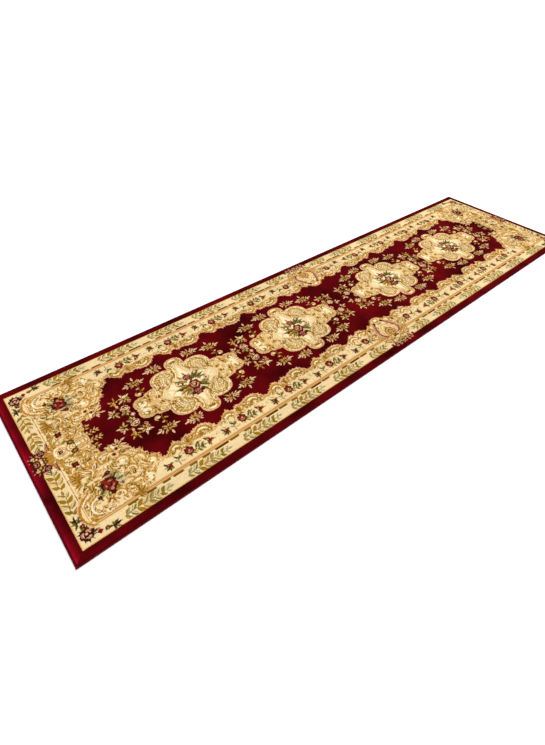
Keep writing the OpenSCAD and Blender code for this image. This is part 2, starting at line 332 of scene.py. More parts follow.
# Pairs of a leaf's yarn and its shade, for foliage
BRIGHT = (
    (SAND, CREAM), (IVORY, STRAW), (CREAM, STRAW), (STRAW, CREAM), (SAND, STRAW), (CREAM, SAND),
    (IVORY, None), (STRAW, GOLD), (GOLD, BRONZE), (STRAW, BRONZE),
)
TONAL = (
    (GOLD, STRAW), (BRONZE, STRAW), (STRAW, CREAM), (SAND, GOLD), (GOLD, BRONZE), (IVORY, GOLD),
    (STRAW, BRONZE), (GOLD, CREAM), (CREAM, GOLD), (BRONZE, GOLD), (SAND, BRONZE), (PEACH, GOLD),
    (OLIVE, GOLD), (ANTIQUE, OLIVE), (ANTIQUE, CREAM), (CREAM, ANTIQUE), (BROWN, GOLD), (CREAM, None),
)
STIPPLE = (
    (GOLD, CREAM), (CREAM, None), (ANTIQUE, STRAW), (STRAW, CREAM), (BRONZE, None), (IVORY, GOLD),
    (CREAM, STRAW), (STRAW, ANTIQUE),
)


def rose(paper, place, radius, dark, mid, light, heart, turn):
    """A full rose: dark outer petals, lighter petals inside, and a light heart."""
    for k in range(6):
        paper.disc(place + polar(turn + 60 * k, 0.62 * radius), 0.42 * radius, dark)
    paper.disc(place, 0.8 * radius, dark)
    for k in range(5):
        paper.disc(place + polar(turn + 20 + 72 * k, 0.55 * radius), 0.26 * radius, mid)
    for k in range(3):
        paper.arc(place, 0.5 * radius, turn + 120 * k, turn + 120 * k + 70, 0.14 * radius + 1.2, light)
    paper.disc(place, 0.32 * radius, heart)
    paper.disc(place + polar(turn + 80, 0.1 * radius), 0.2 * radius, light)


def blossom(paper, place, radius, petal, heart, petals=5, turn=0.0):
    """A small open flower."""
    for k in range(petals):
        paper.disc(place + polar(turn + k * 360 / petals, 0.55 * radius), 0.45 * radius, petal)
    paper.disc(place, 0.34 * radius, heart)


def several(motif):
    """A function that draws a motif for each row: (u, v, ...), less what all of them share."""

    def drawn(paper, rows, *same, at=from_corner, side=1):
        for u, v, *own in rows:
            motif(paper, at(side * u, v), *own, *same)

    return drawn


discs, roses, blossoms = several(Paper.disc), several(rose), several(blossom)


LONG_GARLAND = (SAGE, OLIVE, ANTIQUE, GOLD, SAGE, ANTIQUE, OLIVE, SAGE)
END_GARLAND = (OLIVE, ANTIQUE, ANTIQUE, GOLD, ANTIQUE)


def garland(paper, start, turn, length, yarns=LONG_GARLAND, pale=True):
    """Paired leaves along a thin stem, the largest in the middle, over a paler row of leaves."""
    count = max(round(length / 21), 2)
    spine = placed(smooth([(8, 0), (length * 0.3, 2), (length * 0.7, -2), (length - 4, 0)]), start, turn)
    grown = lambda t: 0.75 + 0.4 * math.sin(math.pi * min(t + 0.1, 1))
    for k in range(count if pale else 0):
        t = (k + 0.3) / count
        for side in (-1, 1):
            foot = placed([(t * length + 3 * side + 9, 0)], start, turn)[0]
            leaf(paper, foot, turn + side * 58, MIST, 22 * grown(t), 8, CREAM, side)
    paper.line(spine, 3, ANTIQUE)
    for k in range(count):
        t = (k + 0.3) / count
        yarn = yarns[int(t * len(yarns))]
        for side in (-1, 1):
            foot = placed([(t * length + 3 * side, 0)], start, turn)[0]
            shade = MIST if k % 2 else ANTIQUE
            leaf(paper, foot, turn + side * 42, yarn, 29 * grown(t), 13 * grown(t), shade, side * 2)
    leaf(paper, placed([(length - 6, 0)], start, turn)[0], turn, yarns[-1], 20, 8)


# ---------------------------------------------------------------- outlines

# One scallop of the field's edge: (share of the repeat, mm from the long edge)
SCALLOP = [
    (0.00, 166), (0.08, 168), (0.15, 179), (0.23, 193), (0.28, 199), (0.32, 190), (0.37, 184), (0.43, 191),
    (0.48, 197), (0.56, 192), (0.62, 198), (0.70, 204), (0.80, 204), (0.86, 200), (0.92, 188), (0.96, 174),
]
# The field's edge round the corner, from the middle of the end to the first notch
CORNER = [
    (206, 400), (208, 385), (203, 372), (207, 345), (214, 330), (207, 316), (222, 312), (236, 307),
    (240, 320), (255, 323), (268, 314), (276, 305), (288, 297), (290, 288), (302, 276), (304, 258),
    (318, 250), (327, 238), (330, 222), (336, 204), (350, 200), (360, 194), (365, 178),
]
# The field's edge beside the side cartouche, from the last notch to the middle of the rug
SIDE = [
    (1272, 170), (1300, 182), (1316, 198), (1330, 201), (1342, 190), (1352, 194), (1366, 201), (1380, 203),
    (1392, 196), (1398, 183), (1412, 184), (1420, 178), (1432, 190), (1452, 193), (1466, 194), (1474, 208),
    (1484, 215), (1494, 210), (1500, 204),
]
# The lower left quarter of a medallion's outline, about its centre
MEDALLION = [
    (-219, 0), (-229, -10), (-232, -24), (-226, -40), (-210, -50), (-194, -52), (-181, -50), (-168, -59),
    (-148, -62), (-130, -66), (-128, -88), (-119, -107), (-102, -120), (-76, -126), (-50, -123),
    (-36, -114), (-37, -132), (-35, -148), (-22, -163), (0, -168),
]


def field_edge():
    points = list(CORNER)
    for notch in NOTCHES[:-1]:
        start = max(notch, CORNER_END)
        points += [(start + share * (notch + REPEAT - start), v) for share, v in SCALLOP]
    return np.array(points + SIDE, float)


def medallion_outline(centre):
    right = [(-u, v) for u, v in MEDALLION[-2::-1]]
    lower = np.array(MEDALLION + right, float)
    upper = (lower * (1, -1))[-2:0:-1]
    return smooth(np.vstack([lower, upper]) + (centre, ROW), closed=True, steps=4)


# ---------------------------------------------------------------- the quarter


def plain_bands(paper):
    paper.of("pile_outer_band").frame(0, BAND_EDGE, BURGUNDY)
    # Painted sheen: along the ends the band runs from a bright crimson at the edge through lighter reds to
    # the burgundy, a painted highlight for light on the pile
    for deep, yarn in ((25, GARNET_SHEEN), (21, RUBY_SHEEN), (16, CHERRY_SHEEN), (12, CRIMSON_SHEEN)):
        paper.fill([(0, 0), (deep, deep), (deep, ROW + 5), (0, ROW + 5)], yarn)
    paper.frame(31.5, BAND_EDGE, WINE)
    paper.of("pile_guard_stripe").frame(BAND_EDGE, GOLD_STRIPE, IVORY)
    paper.frame(BAND_EDGE, BAND_EDGE + 2.5, STRAW)
    paper.frame(BAND_EDGE + 2.5, BAND_EDGE + 6, BLUSH)
    paper.of("pile_gold_stripe").frame(GOLD_STRIPE, BORDER, STRAW)
    paper.frame(GOLD_STRIPE, GOLD_STRIPE + 3, GOLD)
    paper.frame(GOLD_STRIPE + 5, GOLD_STRIPE + 7.5, PEACH)
    paper.frame(GOLD_STRIPE + 7.5, GOLD_STRIPE + 11, GOLD)
    paper.frame(BORDER - 2.5, BORDER, PEACH)
    paper.fill([(GOLD_STRIPE, 104), (BORDER, 104), (BORDER, ROW + 5), (GOLD_STRIPE, ROW + 5)], IVORY)
    paper.fill([
        (GOLD_STRIPE, 104), (GOLD_STRIPE + 4, 104), (GOLD_STRIPE + 4, ROW + 5), (GOLD_STRIPE, ROW + 5),
    ], STRAW)
    paper.fill([(BORDER - 5, 104), (BORDER, 104), (BORDER, ROW + 5), (BORDER - 5, ROW + 5)], GOLD)


def border_ground(paper):
    paper.of("pile_border_ground").frame(BORDER, HALF_LENGTH, IVORY)
    edge = smooth(field_edge())
    paper.of("pile_field").fill(np.vstack([edge, [(HALF_LENGTH + 5, ROW + 5), (206, ROW + 5)]]), BURGUNDY)
    paper.of("pile_scallop_edging").line(edge, 4.6, PEACH)
    way = np.gradient(edge, axis=0)
    turns = np.degrees(np.arctan2(way[:, 1], way[:, 0]))
    for k in range(2, len(edge) - 2, 5):
        in_corner = edge[k, 0] < 345
        rich = ((STRAW, BRONZE), (PEACH, BROWN), (CREAM, GOLD))[k % 3]
        yarn, shade = rich if in_corner else (PEACH, None)
        length, width = (12, 6) if in_corner and edge[k, 1] < 325 else (8.5, 4)
        leaf(paper, edge[k], turns[k] + (60 if k % 2 else 118), yarn, length, width, shade, 1.5)


def scallop_lining(paper):
    """Gold leaves and curls inside each scallop."""
    edge = smooth(field_edge())
    for k, notch in enumerate(NOTCHES[:-1]):
        start = max(notch, CORNER_END)
        width = (notch + REPEAT - start) / REPEAT
        at = lambda share, v: np.array([start + share * REPEAT * width, v])
        upper = edge[(edge[:, 0] >= start) & (edge[:, 0] <= start + REPEAT * width)]
        lower = [
            at(1, 163), at(0.9, 152), at(0.62, 160), at(0.46, 150), at(0.24, 158), at(0.1, 150), at(0, 158),
        ]
        band = np.vstack([upper - (0, 3), lower])
        paper.of("pile_scallop_edging")
        swirls = [(*at(0.24, 158), 1), (*at(0.5, 160), -1), (*at(0.76, 168), -1)]
        foliage(paper, band, swirls, TONAL, 40 + k, 9, 17, 6.5, GOLD)
        crescents(paper, at(0.25, 160), [
            (31, 20, 150, 5, STRAW), (26, 10, 160, 6, GOLD), (19, 10, 165, 4, CREAM),
        ])
        crescent(paper, at(0.25, 158), 12, 0, 180, 5, ANTIQUE)
        crescents(paper, at(0.75, 166), [(31, 0, 170, 7, GOLD), (24, -5, 165, 5, CREAM)])
        crescent(paper, at(0.76, 164), 16, -30, 160, 5, ANTIQUE)
        leaves(paper, [
            (0.3, 168, 60, ANTIQUE), (0.18, 166, 130, BRONZE), (0.68, 178, 110, ANTIQUE),
            (0.84, 180, 70, GOLD), (0.56, 172, 90, BRONZE), (0.93, 166, 100, GOLD),
        ], 19, 6.5, STRAW, 1.5, at=at)
        paper.arc(at(0.86, 166), 10, 150, -260, 3, BRONZE, 0.55)
        paper.arc(at(0.64, 162), 8, 20, 400, 2.8, GOLD, 0.6)
        leaves(paper, [
            (0.47, 158, 90, GOLD, 34, 17, BRONZE), (0.45, 160, 128, STRAW, 26, 8, GOLD, 3),
            (0.49, 160, 52, STRAW, 26, 8, GOLD, -3),
        ], at=at)
        crescent(paper, at(0.02, 140), 22, 60, 140, 4, STRAW)
        leaf(paper, at(0.04, 158), 18, STRAW, 30, 7, GOLD, 2)
    upper = edge[(edge[:, 0] >= NOTCHES[-1]) & (edge[:, 0] <= 1400)]
    band = np.vstack([upper - (0, 3), [(1400, 160), (1370, 156), (1340, 164), (1310, 152), (1268, 156)]])
    foliage(paper, band, [(1322, 164, 1), (1376, 168, -1)], TONAL, 45, 10, 17, 6.5)
    for place, radius in (((1322, 160), 28), ((1376, 166), 24)):
        crescents(paper, place, [
            (radius, 10, 160, 6, GOLD), (radius - 7, 10, 165, 4, CREAM), (radius - 14, 0, 180, 4, GOLD),
        ])


def guard_stripe(paper):
    middle = (BAND_EDGE + DASH_LINE) / 2
    paper.of("pile_guard_garlands")
    for notch in NOTCHES[:-1]:
        garland(paper, (notch + 34, middle), 0, 170)
    garland(paper, (172, middle), 0, 160)
    garland(paper, (1292, middle), 0, 104)
    garland(paper, (59, 152), 90, 92, END_GARLAND, False)
    garland(paper, (59, 258), 90, 84, END_GARLAND[::-1], False)
    paper.of("pile_dashed_line")
    for notch in NOTCHES:
        for start, end, heart in ((-1, 35, BROWN), (62, 87, BRONZE), (112, 140, BROWN), (163, 216, BARK)):
            if notch + end < 1405:
                line = np.array([(notch + start, DASH_LINE + 2.5), (notch + end, DASH_LINE + 2.5)])
                paper.line(line, 5.6, BROWN if heart == BARK else BRONZE)
                paper.line(line + ((4, -1), (-4, -1)), 3, heart)
    for start, end in ((200, 232), (256, 294), (320, 345)):
        line = np.array([(start, DASH_LINE + 2.5), (end, DASH_LINE + 2.5)])
        paper.line(line, 5.6, BRONZE)
        paper.line(line + ((4, -1), (-4, -1)), 3, BROWN)
    for start in range(160, 350, 34):
        paper.line([(DASH_LINE + 7, start), (DASH_LINE + 7, start + 17)], 4.2, BROWN if start % 4 else PINK)


def border_flowers(paper):
    paper.of("pile_border_ground")
    for k, along in enumerate(np.arange(380, 1400, 28.3)):
        for v, turn, yarn, shade in (
            (110, 20, SAND, None), (120, 320, CREAM, SAND), (130, 200, BLUSH, MIST), (140, 70, MIST, CREAM),
            (150, 150, STRAW, SAND), (146, 20, SAND, GOLD),
        ):
            leaf(paper, (along + 7 * (v % 7), v), turn + 47 * k, yarn, 19, 7, shade, 2)
    for k, along in enumerate((451, 677, 903.5, 1130, 1355)):
        bloom = np.array([along, 136])
        paper.of("pile_border_leaves")
        crescent(paper, bloom + (30, 6), 26, 200, 340, 3, STRAW)
        for angle, length, yarn in (
            (-62, 36, MOSS), (-38, 30, OLIVE), (-100, 30, BROWN), (-128, 26, OLIVE), (172, 26, SAGE),
            (140, 22, STRAW),
        ):
            leaf(paper, bloom, angle, yarn, length, 10, None if yarn == STRAW else STRAW, 2)
        stem = smooth([bloom + (12, -6), bloom + (30, -12), bloom + (54, -14)])
        paper.line(stem, 2.5, MOSS)
        leaves(paper, [
            (22, -8, 48, MOSS), (26, -12, -64, MOSS), (33, -12, 62, OLIVE), (38, -12, -50, OLIVE),
            (42, -12, 38, MOSS), (48, -12, -14, SAGE), (28, 4, 20, MOSS),
        ], 22, 8, {MOSS: OLIVE}, 1.5, at=about(bloom))
        paper.of("pile_border_roses")
        rose(paper, bloom + (-1, 0), 17.5, MAROON, RED, RED, MAROON, 20)
        crescent(paper, bloom, 9, 190, 330, 4, PINK)
        discs(paper, [(0, 0, 3.5, PEACH), (2, -15, 4.5, BROWN), (48, -10, 3.6, RED)], at=about(bloom))
        if k == 4:
            continue
        side = bloom + (78, -7)
        paper.of("pile_border_leaves")
        fan(paper, side, [
            (128, MOSS, 26, 10), (100, OLIVE, 16, 7), (235, MOSS, 22, 9), (255, OLIVE, 24, 7),
            (-12, GOLD, 28, 10), (20, PEACH, 20, 8),
        ], {GOLD: STRAW})
        paper.of("pile_border_roses")
        blossom(paper, side, 10.5, RED, BARK)
        discs(paper, [(-5, 5, 3.6, PINK), (12, -1, 4, BROWN)], at=about(side))
    for k, along in enumerate((368, 598, 824, 1051, 1278)):
        bud = np.array([along, 123])
        paper.of("pile_border_leaves")
        fan(paper, bud, [
            (130, MOSS, 24), (215, MOSS, 24), (180, SAGE, 22), (255, MOSS, 24), (290, OLIVE, 20),
            (20, OLIVE, 20),
        ], 9, None, 1.5)
        curl = smooth([bud + (34, -18), bud + (33, 0), bud + (42, 14)])
        paper.line(curl, 3, MOSS)
        leaves(paper, [
            (36, 2, 60, OLIVE), (36, -2, 150, SAGE), (36, -6, -10, STRAW), (36, 8, 120, MOSS),
            (36, 6, 20, OLIVE),
        ], 20, 8, {STRAW: PEACH}, at=about(bud))
        paper.of("pile_border_roses")
        blossom(paper, bud, 10.5, BROWN, MAROON, turn=30)
        discs(paper, [(5, -3, 4.4, RED), (-3, 4, 2.8, PINK)], at=about(bud))


def corner_scrolls(paper):
    """Gold scrollwork that fills a corner, with a shell in the corner itself."""
    edge = smooth(field_edge())
    upper = edge[(edge[:, 0] <= 372) & (edge[:, 1] <= 352)]
    zone = np.vstack([
        upper, [(352, 160), (330, 140), (300, 102), (180, 98), (92, 92), (90, 180), (98, 352)],
    ])
    swirls = [
        (140, 138, 1), (115, 266, -1), (250, 108, 1), (240, 284, 1), (256, 238, -1), (302, 222, 1),
        (334, 182, -1), (190, 262, -1), (200, 120, -1), (300, 132, 1), (286, 176, -1), (146, 318, 1),
        (186, 318, -1), (186, 186, 1),
    ]
    paper.of("pile_corner_scrolls")
    foliage(paper, zone, swirls, TONAL, 5, 12, 24, 9.5, SAND)
    paper.only(zone)
    heart = np.array([136, 134])
    crescents(paper, heart, [
        (64, 90, 262, 7, GOLD), (56, 95, 258, 4, CREAM), (49, 98, 252, 6, GOLD), (42, 100, 250, 4, STRAW),
        (35, 95, 262, 5, GOLD), (28, 90, 270, 4, CREAM), (21, 80, 280, 5, STRAW),
    ])
    paper.only()
    crescents(paper, heart, [(70, 112, 236, 4, PEACH), (64, 110, 240, 6, GOLD)])
    accents = [(102, 148, 84), (154, 104, 6), (97, 120, 66), (120, 112, 30), (112, 128, 60)]
    leaves(paper, [(*accent, BROWN) for accent in accents], 19, 6.5, PEACH, 0, CREAM)
    for place, turn in (((113, 262), 90), ((246, 100), 0)):
        for k in range(7):
            leaf(
                paper, place, turn - 78 + 26 * k, GOLD if k % 2 else BRONZE, 38 - 4 * abs(k - 3), 13, STRAW,
            )
        leaf(paper, place, turn + 180, GOLD, 22, 14, BRONZE)
    paper.only(zone)
    scrolls(paper, [
        (300, 126, 24, 200, -60, CREAM), (262, 132, 22, -20, 170, STRAW), (256, 240, 24, -70, 160, CREAM),
        (304, 214, 22, -60, 150, STRAW), (334, 180, 17, -60, 170, CREAM), (218, 284, 26, 20, 230, None),
        (178, 300, 22, 60, 280, STRAW), (150, 262, 20, 100, -80, None), (200, 130, 20, 160, -50, None),
        (160, 344, 18, 20, 220, CREAM), (268, 190, 20, 150, -40, None), (128, 300, 20, 200, 20, None),
    ])
    leaves(paper, [
        (175, 262, 60, BROWN), (160, 300, 80, BRONZE), (176, 282, 110, GOLD), (270, 168, 80, BROWN),
        (296, 160, 20, BRONZE), (150, 230, 120, OLIVE), (232, 150, -30, OLIVE), (238, 184, 10, MOSS),
        (250, 204, 70, OLIVE), (222, 236, 80, OLIVE), (134, 212, 120, OLIVE), (340, 150, 20, GOLD),
        (322, 158, 160, GOLD), (108, 330, 90, STRAW), (150, 338, 30, BRONZE),
    ], 24, 9, STRAW, 2)
    for u, v in ((247, 281), (262, 298)):
        discs(paper, [(u, v, 10, PEACH), (u, v, 6.5, BROWN), (u, v, 3, MAROON)])
    leaves(paper, [
        (171, 270, 60, MAROON), (146, 104, 20, MAROON), (98, 150, 70, RED), (276, 150, 40, BROWN),
        (240, 214, 130, BROWN), (168, 330, 70, BROWN), (205, 286, 100, MOSS), (312, 148, 170, MOSS),
    ], 15, 6.5, GOLD, 1, CREAM)
    paper.only()


def corner_roses(paper):
    """The dark rose on the diagonal of a corner, with a sprig on either side."""
    paper.of("pile_corner_roses")
    bloom = np.array([64, 74])
    fan(paper, bloom, [
        (88, MOSS, 44), (104, OLIVE, 40), (70, BROWN, 34), (-5, BROWN, 40), (12, BARK, 30), (-28, MOSS, 34),
        (-60, MOSS, 30), (-90, BARK, 30), (-120, MOSS, 30), (150, BROWN, 28), (128, MOSS, 30),
    ], 10, {MOSS: SAGE})
    rose(paper, bloom, 22, BARK, MAROON, PEACH, BARK, 10)
    for angle in (20, 140, 260):
        crescent(paper, bloom, 15, angle, angle + 60, 3.4, PINK)
    sprig = [
        (-40, 26, 9, MOSS, SAGE), (30, 26, 9, MOSS, None), (0, 28, 8, BARK, None), (80, 16, 8, OLIVE, None),
        (-90, 18, 8, MOSS, None), (150, 24, 8, MOSS, None),
    ]
    for place, turn in (((54, 124), 90), ((138, 50), 0)):
        for angle, length, width, yarn, vein in sprig:
            leaf(paper, place, turn + angle, yarn, length, width, vein, 0.06 * length)
        paper.disc(place, 3, BARK)
    blossoms(paper, [(64, 106, 8, MAROON, PINK), (98, 60, 9, RED, MAROON, 4), (120, 56, 8, BROWN, GOLD, 5)])


def corner_bouquet(paper):
    """The red rose among green leaves inside a corner."""
    paper.of("pile_corner_bouquets")
    heart = np.array([186, 184])
    fan(paper, heart, [
        (200, OLIVE, 46, 18, MOSS), (176, MOSS, 40, 16, SAGE), (222, SAGE, 42, 16, IVORY),
        (240, OLIVE, 34, 14, None), (150, OLIVE, 42, 16, MOSS), (124, MOSS, 38, 14, None),
        (28, SAGE, 50, 18, MIST), (52, SAGE, 48, 17, MOSS), (6, MOSS, 52, 16, SAGE),
        (-18, SAGE, 44, 14, MIST), (-42, OLIVE, 38, 13, None), (76, SAGE, 44, 13, None),
        (262, MOSS, 38, 13, None), (40, MOSS, 60, 9, None), (-8, MIST, 60, 8, SAGE),
    ], 2)
    for angle in (10, 48, 86):
        paper.arc(heart + polar(angle - 20, 46), 9, angle, angle + 280, 3, SAGE, 0.3)
    rose(paper, heart + (0, 2), 27, MAROON, RED, RED, BARK, 30)
    for angle, radius in ((40, 13), (160, 12), (285, 14)):
        crescent(paper, heart + (0, 2), radius, angle, angle + 55, 4, PINK)
    for angle in (20, 140, 250):
        crescent(paper, heart + (0, 2), 24, angle, angle + 70, 5, BARK)
    discs(paper, [(0, -30, 9, MAROON), (2, -17, 6, PINK), (-12, 22, 6, RED)], at=about(heart))
    blossom(paper, heart + (12, 44), 10, MAROON, PINK, turn=18)
    leaf(paper, heart + (-10, 38), 12, RED, 40, 10, MAROON)
    blossom(paper, (143, 158), 8, BARK, MOSS)
    leaf(paper, (160, 158), 60, SAGE, 22, 8, None)
    blossom(paper, (222, 166), 6, BROWN, PINK, 4)


def end_cartouche(paper):
    """The lower half of the cartouche in the middle of an end."""
    zone = [(84, 404), (84, 352), (102, 330), (206, 330), (204, 404)]
    swirls = [(120, 346, 1), (168, 344, -1), (104, 380, 1), (186, 366, 1), (140, 392, -1)]
    paper.of("pile_end_cartouches")
    foliage(paper, zone, swirls, TONAL, 9, 11, 21, 8.5, SAND)
    egg = np.array([114, ROW])
    paper.fill(smooth([(62, 402), (64, 376), (74, 356), (94, 350), (102, 368), (102, 402)], True), GOLD)
    for k in range(6):
        leaf(paper, (106, 394.0), 190 + 13 * k, BRONZE if k % 2 else GOLD, 44, 9, STRAW, 3)
    paper.disc(egg, 26, PEACH, 1.35)
    paper.disc(egg, 23, CREAM, 1.4)
    crescents(paper, egg, [(19, 200, 340, 4, STRAW), (12, 180, 360, 3.5, GOLD)])
    for radius, yarn in (
        (42, PEACH), (38, GOLD), (34, CREAM), (29, GOLD), (25, IVORY), (18, STRAW), (12, CREAM),
    ):
        paper.disc((168, ROW), radius, yarn, 0.6)
    for v in (392, 384, 376):
        paper.line([(166, v + 2), (202, v - 2)], 2.8, GOLD)
    scrolls(paper, [
        (122, 342, 24, 60, 300), (154, 350, 20, -40, 150), (180, 338, 20, 30, 200),
        (188, 366, 11, 120, -90), (92, 366, 16, 90, 300),
    ])
    leaves(paper, [
        (118, 346, 150, OLIVE), (150, 356, 40, BRONZE), (172, 348, 60, GOLD), (146, 316, -20, BRONZE),
        (168, 310, 40, BROWN), (186, 326, 70, GOLD), (140, 300, -60, BROWN), (112, 322, 120, OLIVE),
        (186, 350, 100, PEACH), (190, 338, 120, BROWN),
    ], 24, 9, STRAW, 2)
    for v in (338, 352):
        leaf(paper, (82.0, v - 6), 90, BROWN, 26, 9, PINK)


def end_flowers(paper):
    """The dark flowers that the end cartouche holds, half of them over the plain band."""
    paper.of("pile_end_flowers")
    fan(paper, (42, 378.0), [
        (200, BARK), (235, MAROON), (260, BARK), (290, MAROON), (320, BARK), (165, MAROON), (-15, BROWN),
        (350, GOLD),
    ], 36, 11, PINK)
    rose(paper, (40, 378.0), 22, BARK, BROWN, STRAW, MAROON, 40)
    for angle in (30, 110, 190, 280):
        crescent(paper, (40, 378.0), 16, angle, angle + 46, 4, PEACH if angle % 20 else PINK)
    roses(paper, [
        (58, 364.0, 13, MAROON, BARK, PINK, BARK, 0), (32, 397.0, 13, BARK, MAROON, PINK, MAROON, 70),
    ])
    blossom(paper, (60, 394.0), 9, BROWN, GOLD)
    paper.disc((48, 350), 5, PINK)
    blossom(paper, (152, 378.0), 13, BROWN, GOLD, turn=20)
    leaves(paper, [(158, 378.0, 80, MOSS, 24, 8, OLIVE), (146, 372.0, 220, OLIVE, 22, 8, None)])
    blossom(paper, (131, 323.0), 13, MAROON, RED, 4, 45)
    discs(paper, [(112, ROW, 8, MAROON), (114, ROW, 3.5, PINK)])


def side_cartouche(paper):
    """The left half of the cartouche in the middle of a long side."""
    middle = HALF_LENGTH
    edge = smooth(field_edge())
    zone = np.vstack([
        edge[edge[:, 0] > 1392], [(1502, 204), (1502, 80), (1440, 84), (1402, 104), (1384, 140)],
    ])
    paper.of("pile_side_cartouches")
    swirls = [(1424, 150, 1), (1410, 120, -1), (1452, 178, -1), (1480, 84, 1), (1396, 170, -1)]
    foliage(paper, zone, swirls, TONAL, 21, 10, 18, 7)
    pear = smooth([
        (1500, 172), (1480, 160), (1464, 134), (1460, 112), (1472, 98), (1500, 94), (1520, 120),
        (1520, 160),
    ], True)
    paper.line(pear, 6, BLUSH)
    paper.fill(pear, SAND)
    for radius, yarn in ((34, IVORY), (28, STRAW), (22, CREAM), (15, SAND), (9, GOLD)):
        crescent(paper, (1504.0, 136), radius, 40, 320, 4, yarn)
    for k in range(6):
        yarn, shade = (GOLD, BRONZE) if k % 2 else (STRAW, BLUSH)
        leaf(paper, (1500, 101.0), 84 + 19 * k, yarn, 40 - 2 * k, 10, shade)
    outer = smooth([
        (1484, 194), (1472, 186), (1460, 170), (1449, 148), (1442, 122), (1447, 104), (1462, 92),
    ])
    paper.line(outer + (-9, 0), 4, PEACH)
    paper.line(outer + (-1, 0), 12, PINK)
    paper.line(outer + (10, 0), 4, BLUSH)
    for radius, yarn in ((28, BRONZE), (22, PEACH), (16, BROWN), (10, STRAW)):
        crescent(paper, (1503.0, 108), radius, 70, 190, 4, yarn)
    way = np.degrees(np.arctan2(*np.gradient(outer, axis=0).T[::-1]))
    for k in range(0, len(outer) - 3, 3):
        yarn, shade = ((BROWN, MAROON), (BROWN, None), (MAROON, BROWN), (BROWN, PINK))[k // 3 % 4]
        leaf(paper, outer[k] + (3, 0), way[k] + 8, yarn, 23, 6, shade, 1)
        leaf(paper, outer[k] + (-6, 0), way[k] - 38, BLUSH if k % 2 else PEACH, 15, 6.5, PINK, 1)
    scrolls(paper, [
        (1422, 152, 24, 20, 220), (1418, 124, 20, 120, 330), (1394, 166, 18, 0, 180),
        (1452, 180, 12, 0, 300), (1478, 200, 10, 200, -40),
    ])
    leaves(paper, [
        (1404, 134, 20, BRONZE), (1412, 112, -20, GOLD), (1400, 168, 70, OLIVE), (1440, 96, 190, GOLD),
        (1462, 84, 150, BRONZE), (1480, 78, 170, GOLD), (1432, 180, 60, STRAW), (1468, 70, 200, GOLD),
    ], 28, 9, STRAW, 2)
    for k, radius in enumerate((17, 12, 7)):
        paper.disc((middle - 4, 204), radius, (PEACH, GOLD, CREAM)[k], 1.1)
    paper.line(smooth([(1404, 64), (1436, 80), (1466, 90), (1500, 94)]), 4, GOLD)
    paper.line(smooth([(1410, 58), (1440, 74), (1470, 84), (1500, 88)]), 2.6, PEACH)
    for k in range(5):
        leaf(paper, (1494.0 - 16 * k, 62), 158 - 12 * k, GOLD if k % 2 else BRONZE, 26, 9, STRAW)


def side_fans(paper):
    """The fan of small flowers where the side cartouche meets the plain band."""
    paper.of("pile_side_fans")
    for k in range(4):
        leaf(paper, (1500, 76.0), 92 + 28 * k, BROWN if k % 2 else GOLD, 20, 9, None)
    for place in ((1421, 168), (1431, 41), (1476, 189)):
        blossom(paper, place, 7.5, BARK, BROWN)
    for place, angle, yarn, shade in (
        ((1442, 36), 30, BROWN, PINK), ((1452, 34), 80, MOSS, None), ((1464, 34), 120, MAROON, PINK),
        ((1474, 34), 60, MOSS, SAGE), ((1484, 34), 130, BROWN, SAGE), ((1494, 34), 80, MOSS, OLIVE),
        ((1458, 44), 10, BROWN, PEACH), ((1478, 46), 0, MOSS, SAGE), ((1500, 40), 150, MAROON, BROWN),
    ):
        leaf(paper, place, angle, yarn, 24, 10, shade, 1)
    for u, v in ((1450, 29), (1472, 27), (1494, 29)):
        discs(paper, [(u, v, 7, PINK), (u, v, 3, BROWN)])
    leaves(paper, [
        (1440, 46, 40, PINK), (1452, 50, 70, BROWN), (1462, 42, -20, SAGE), (1474, 46, 30, OLIVE),
        (1486, 44, 10, MOSS), (1478, 54, 120, BROWN), (1496, 44, 90, SAGE), (1446, 56, 150, MOSS),
        (1500, 56, 200, OLIVE),
    ], 21, 8, STRAW, 1)


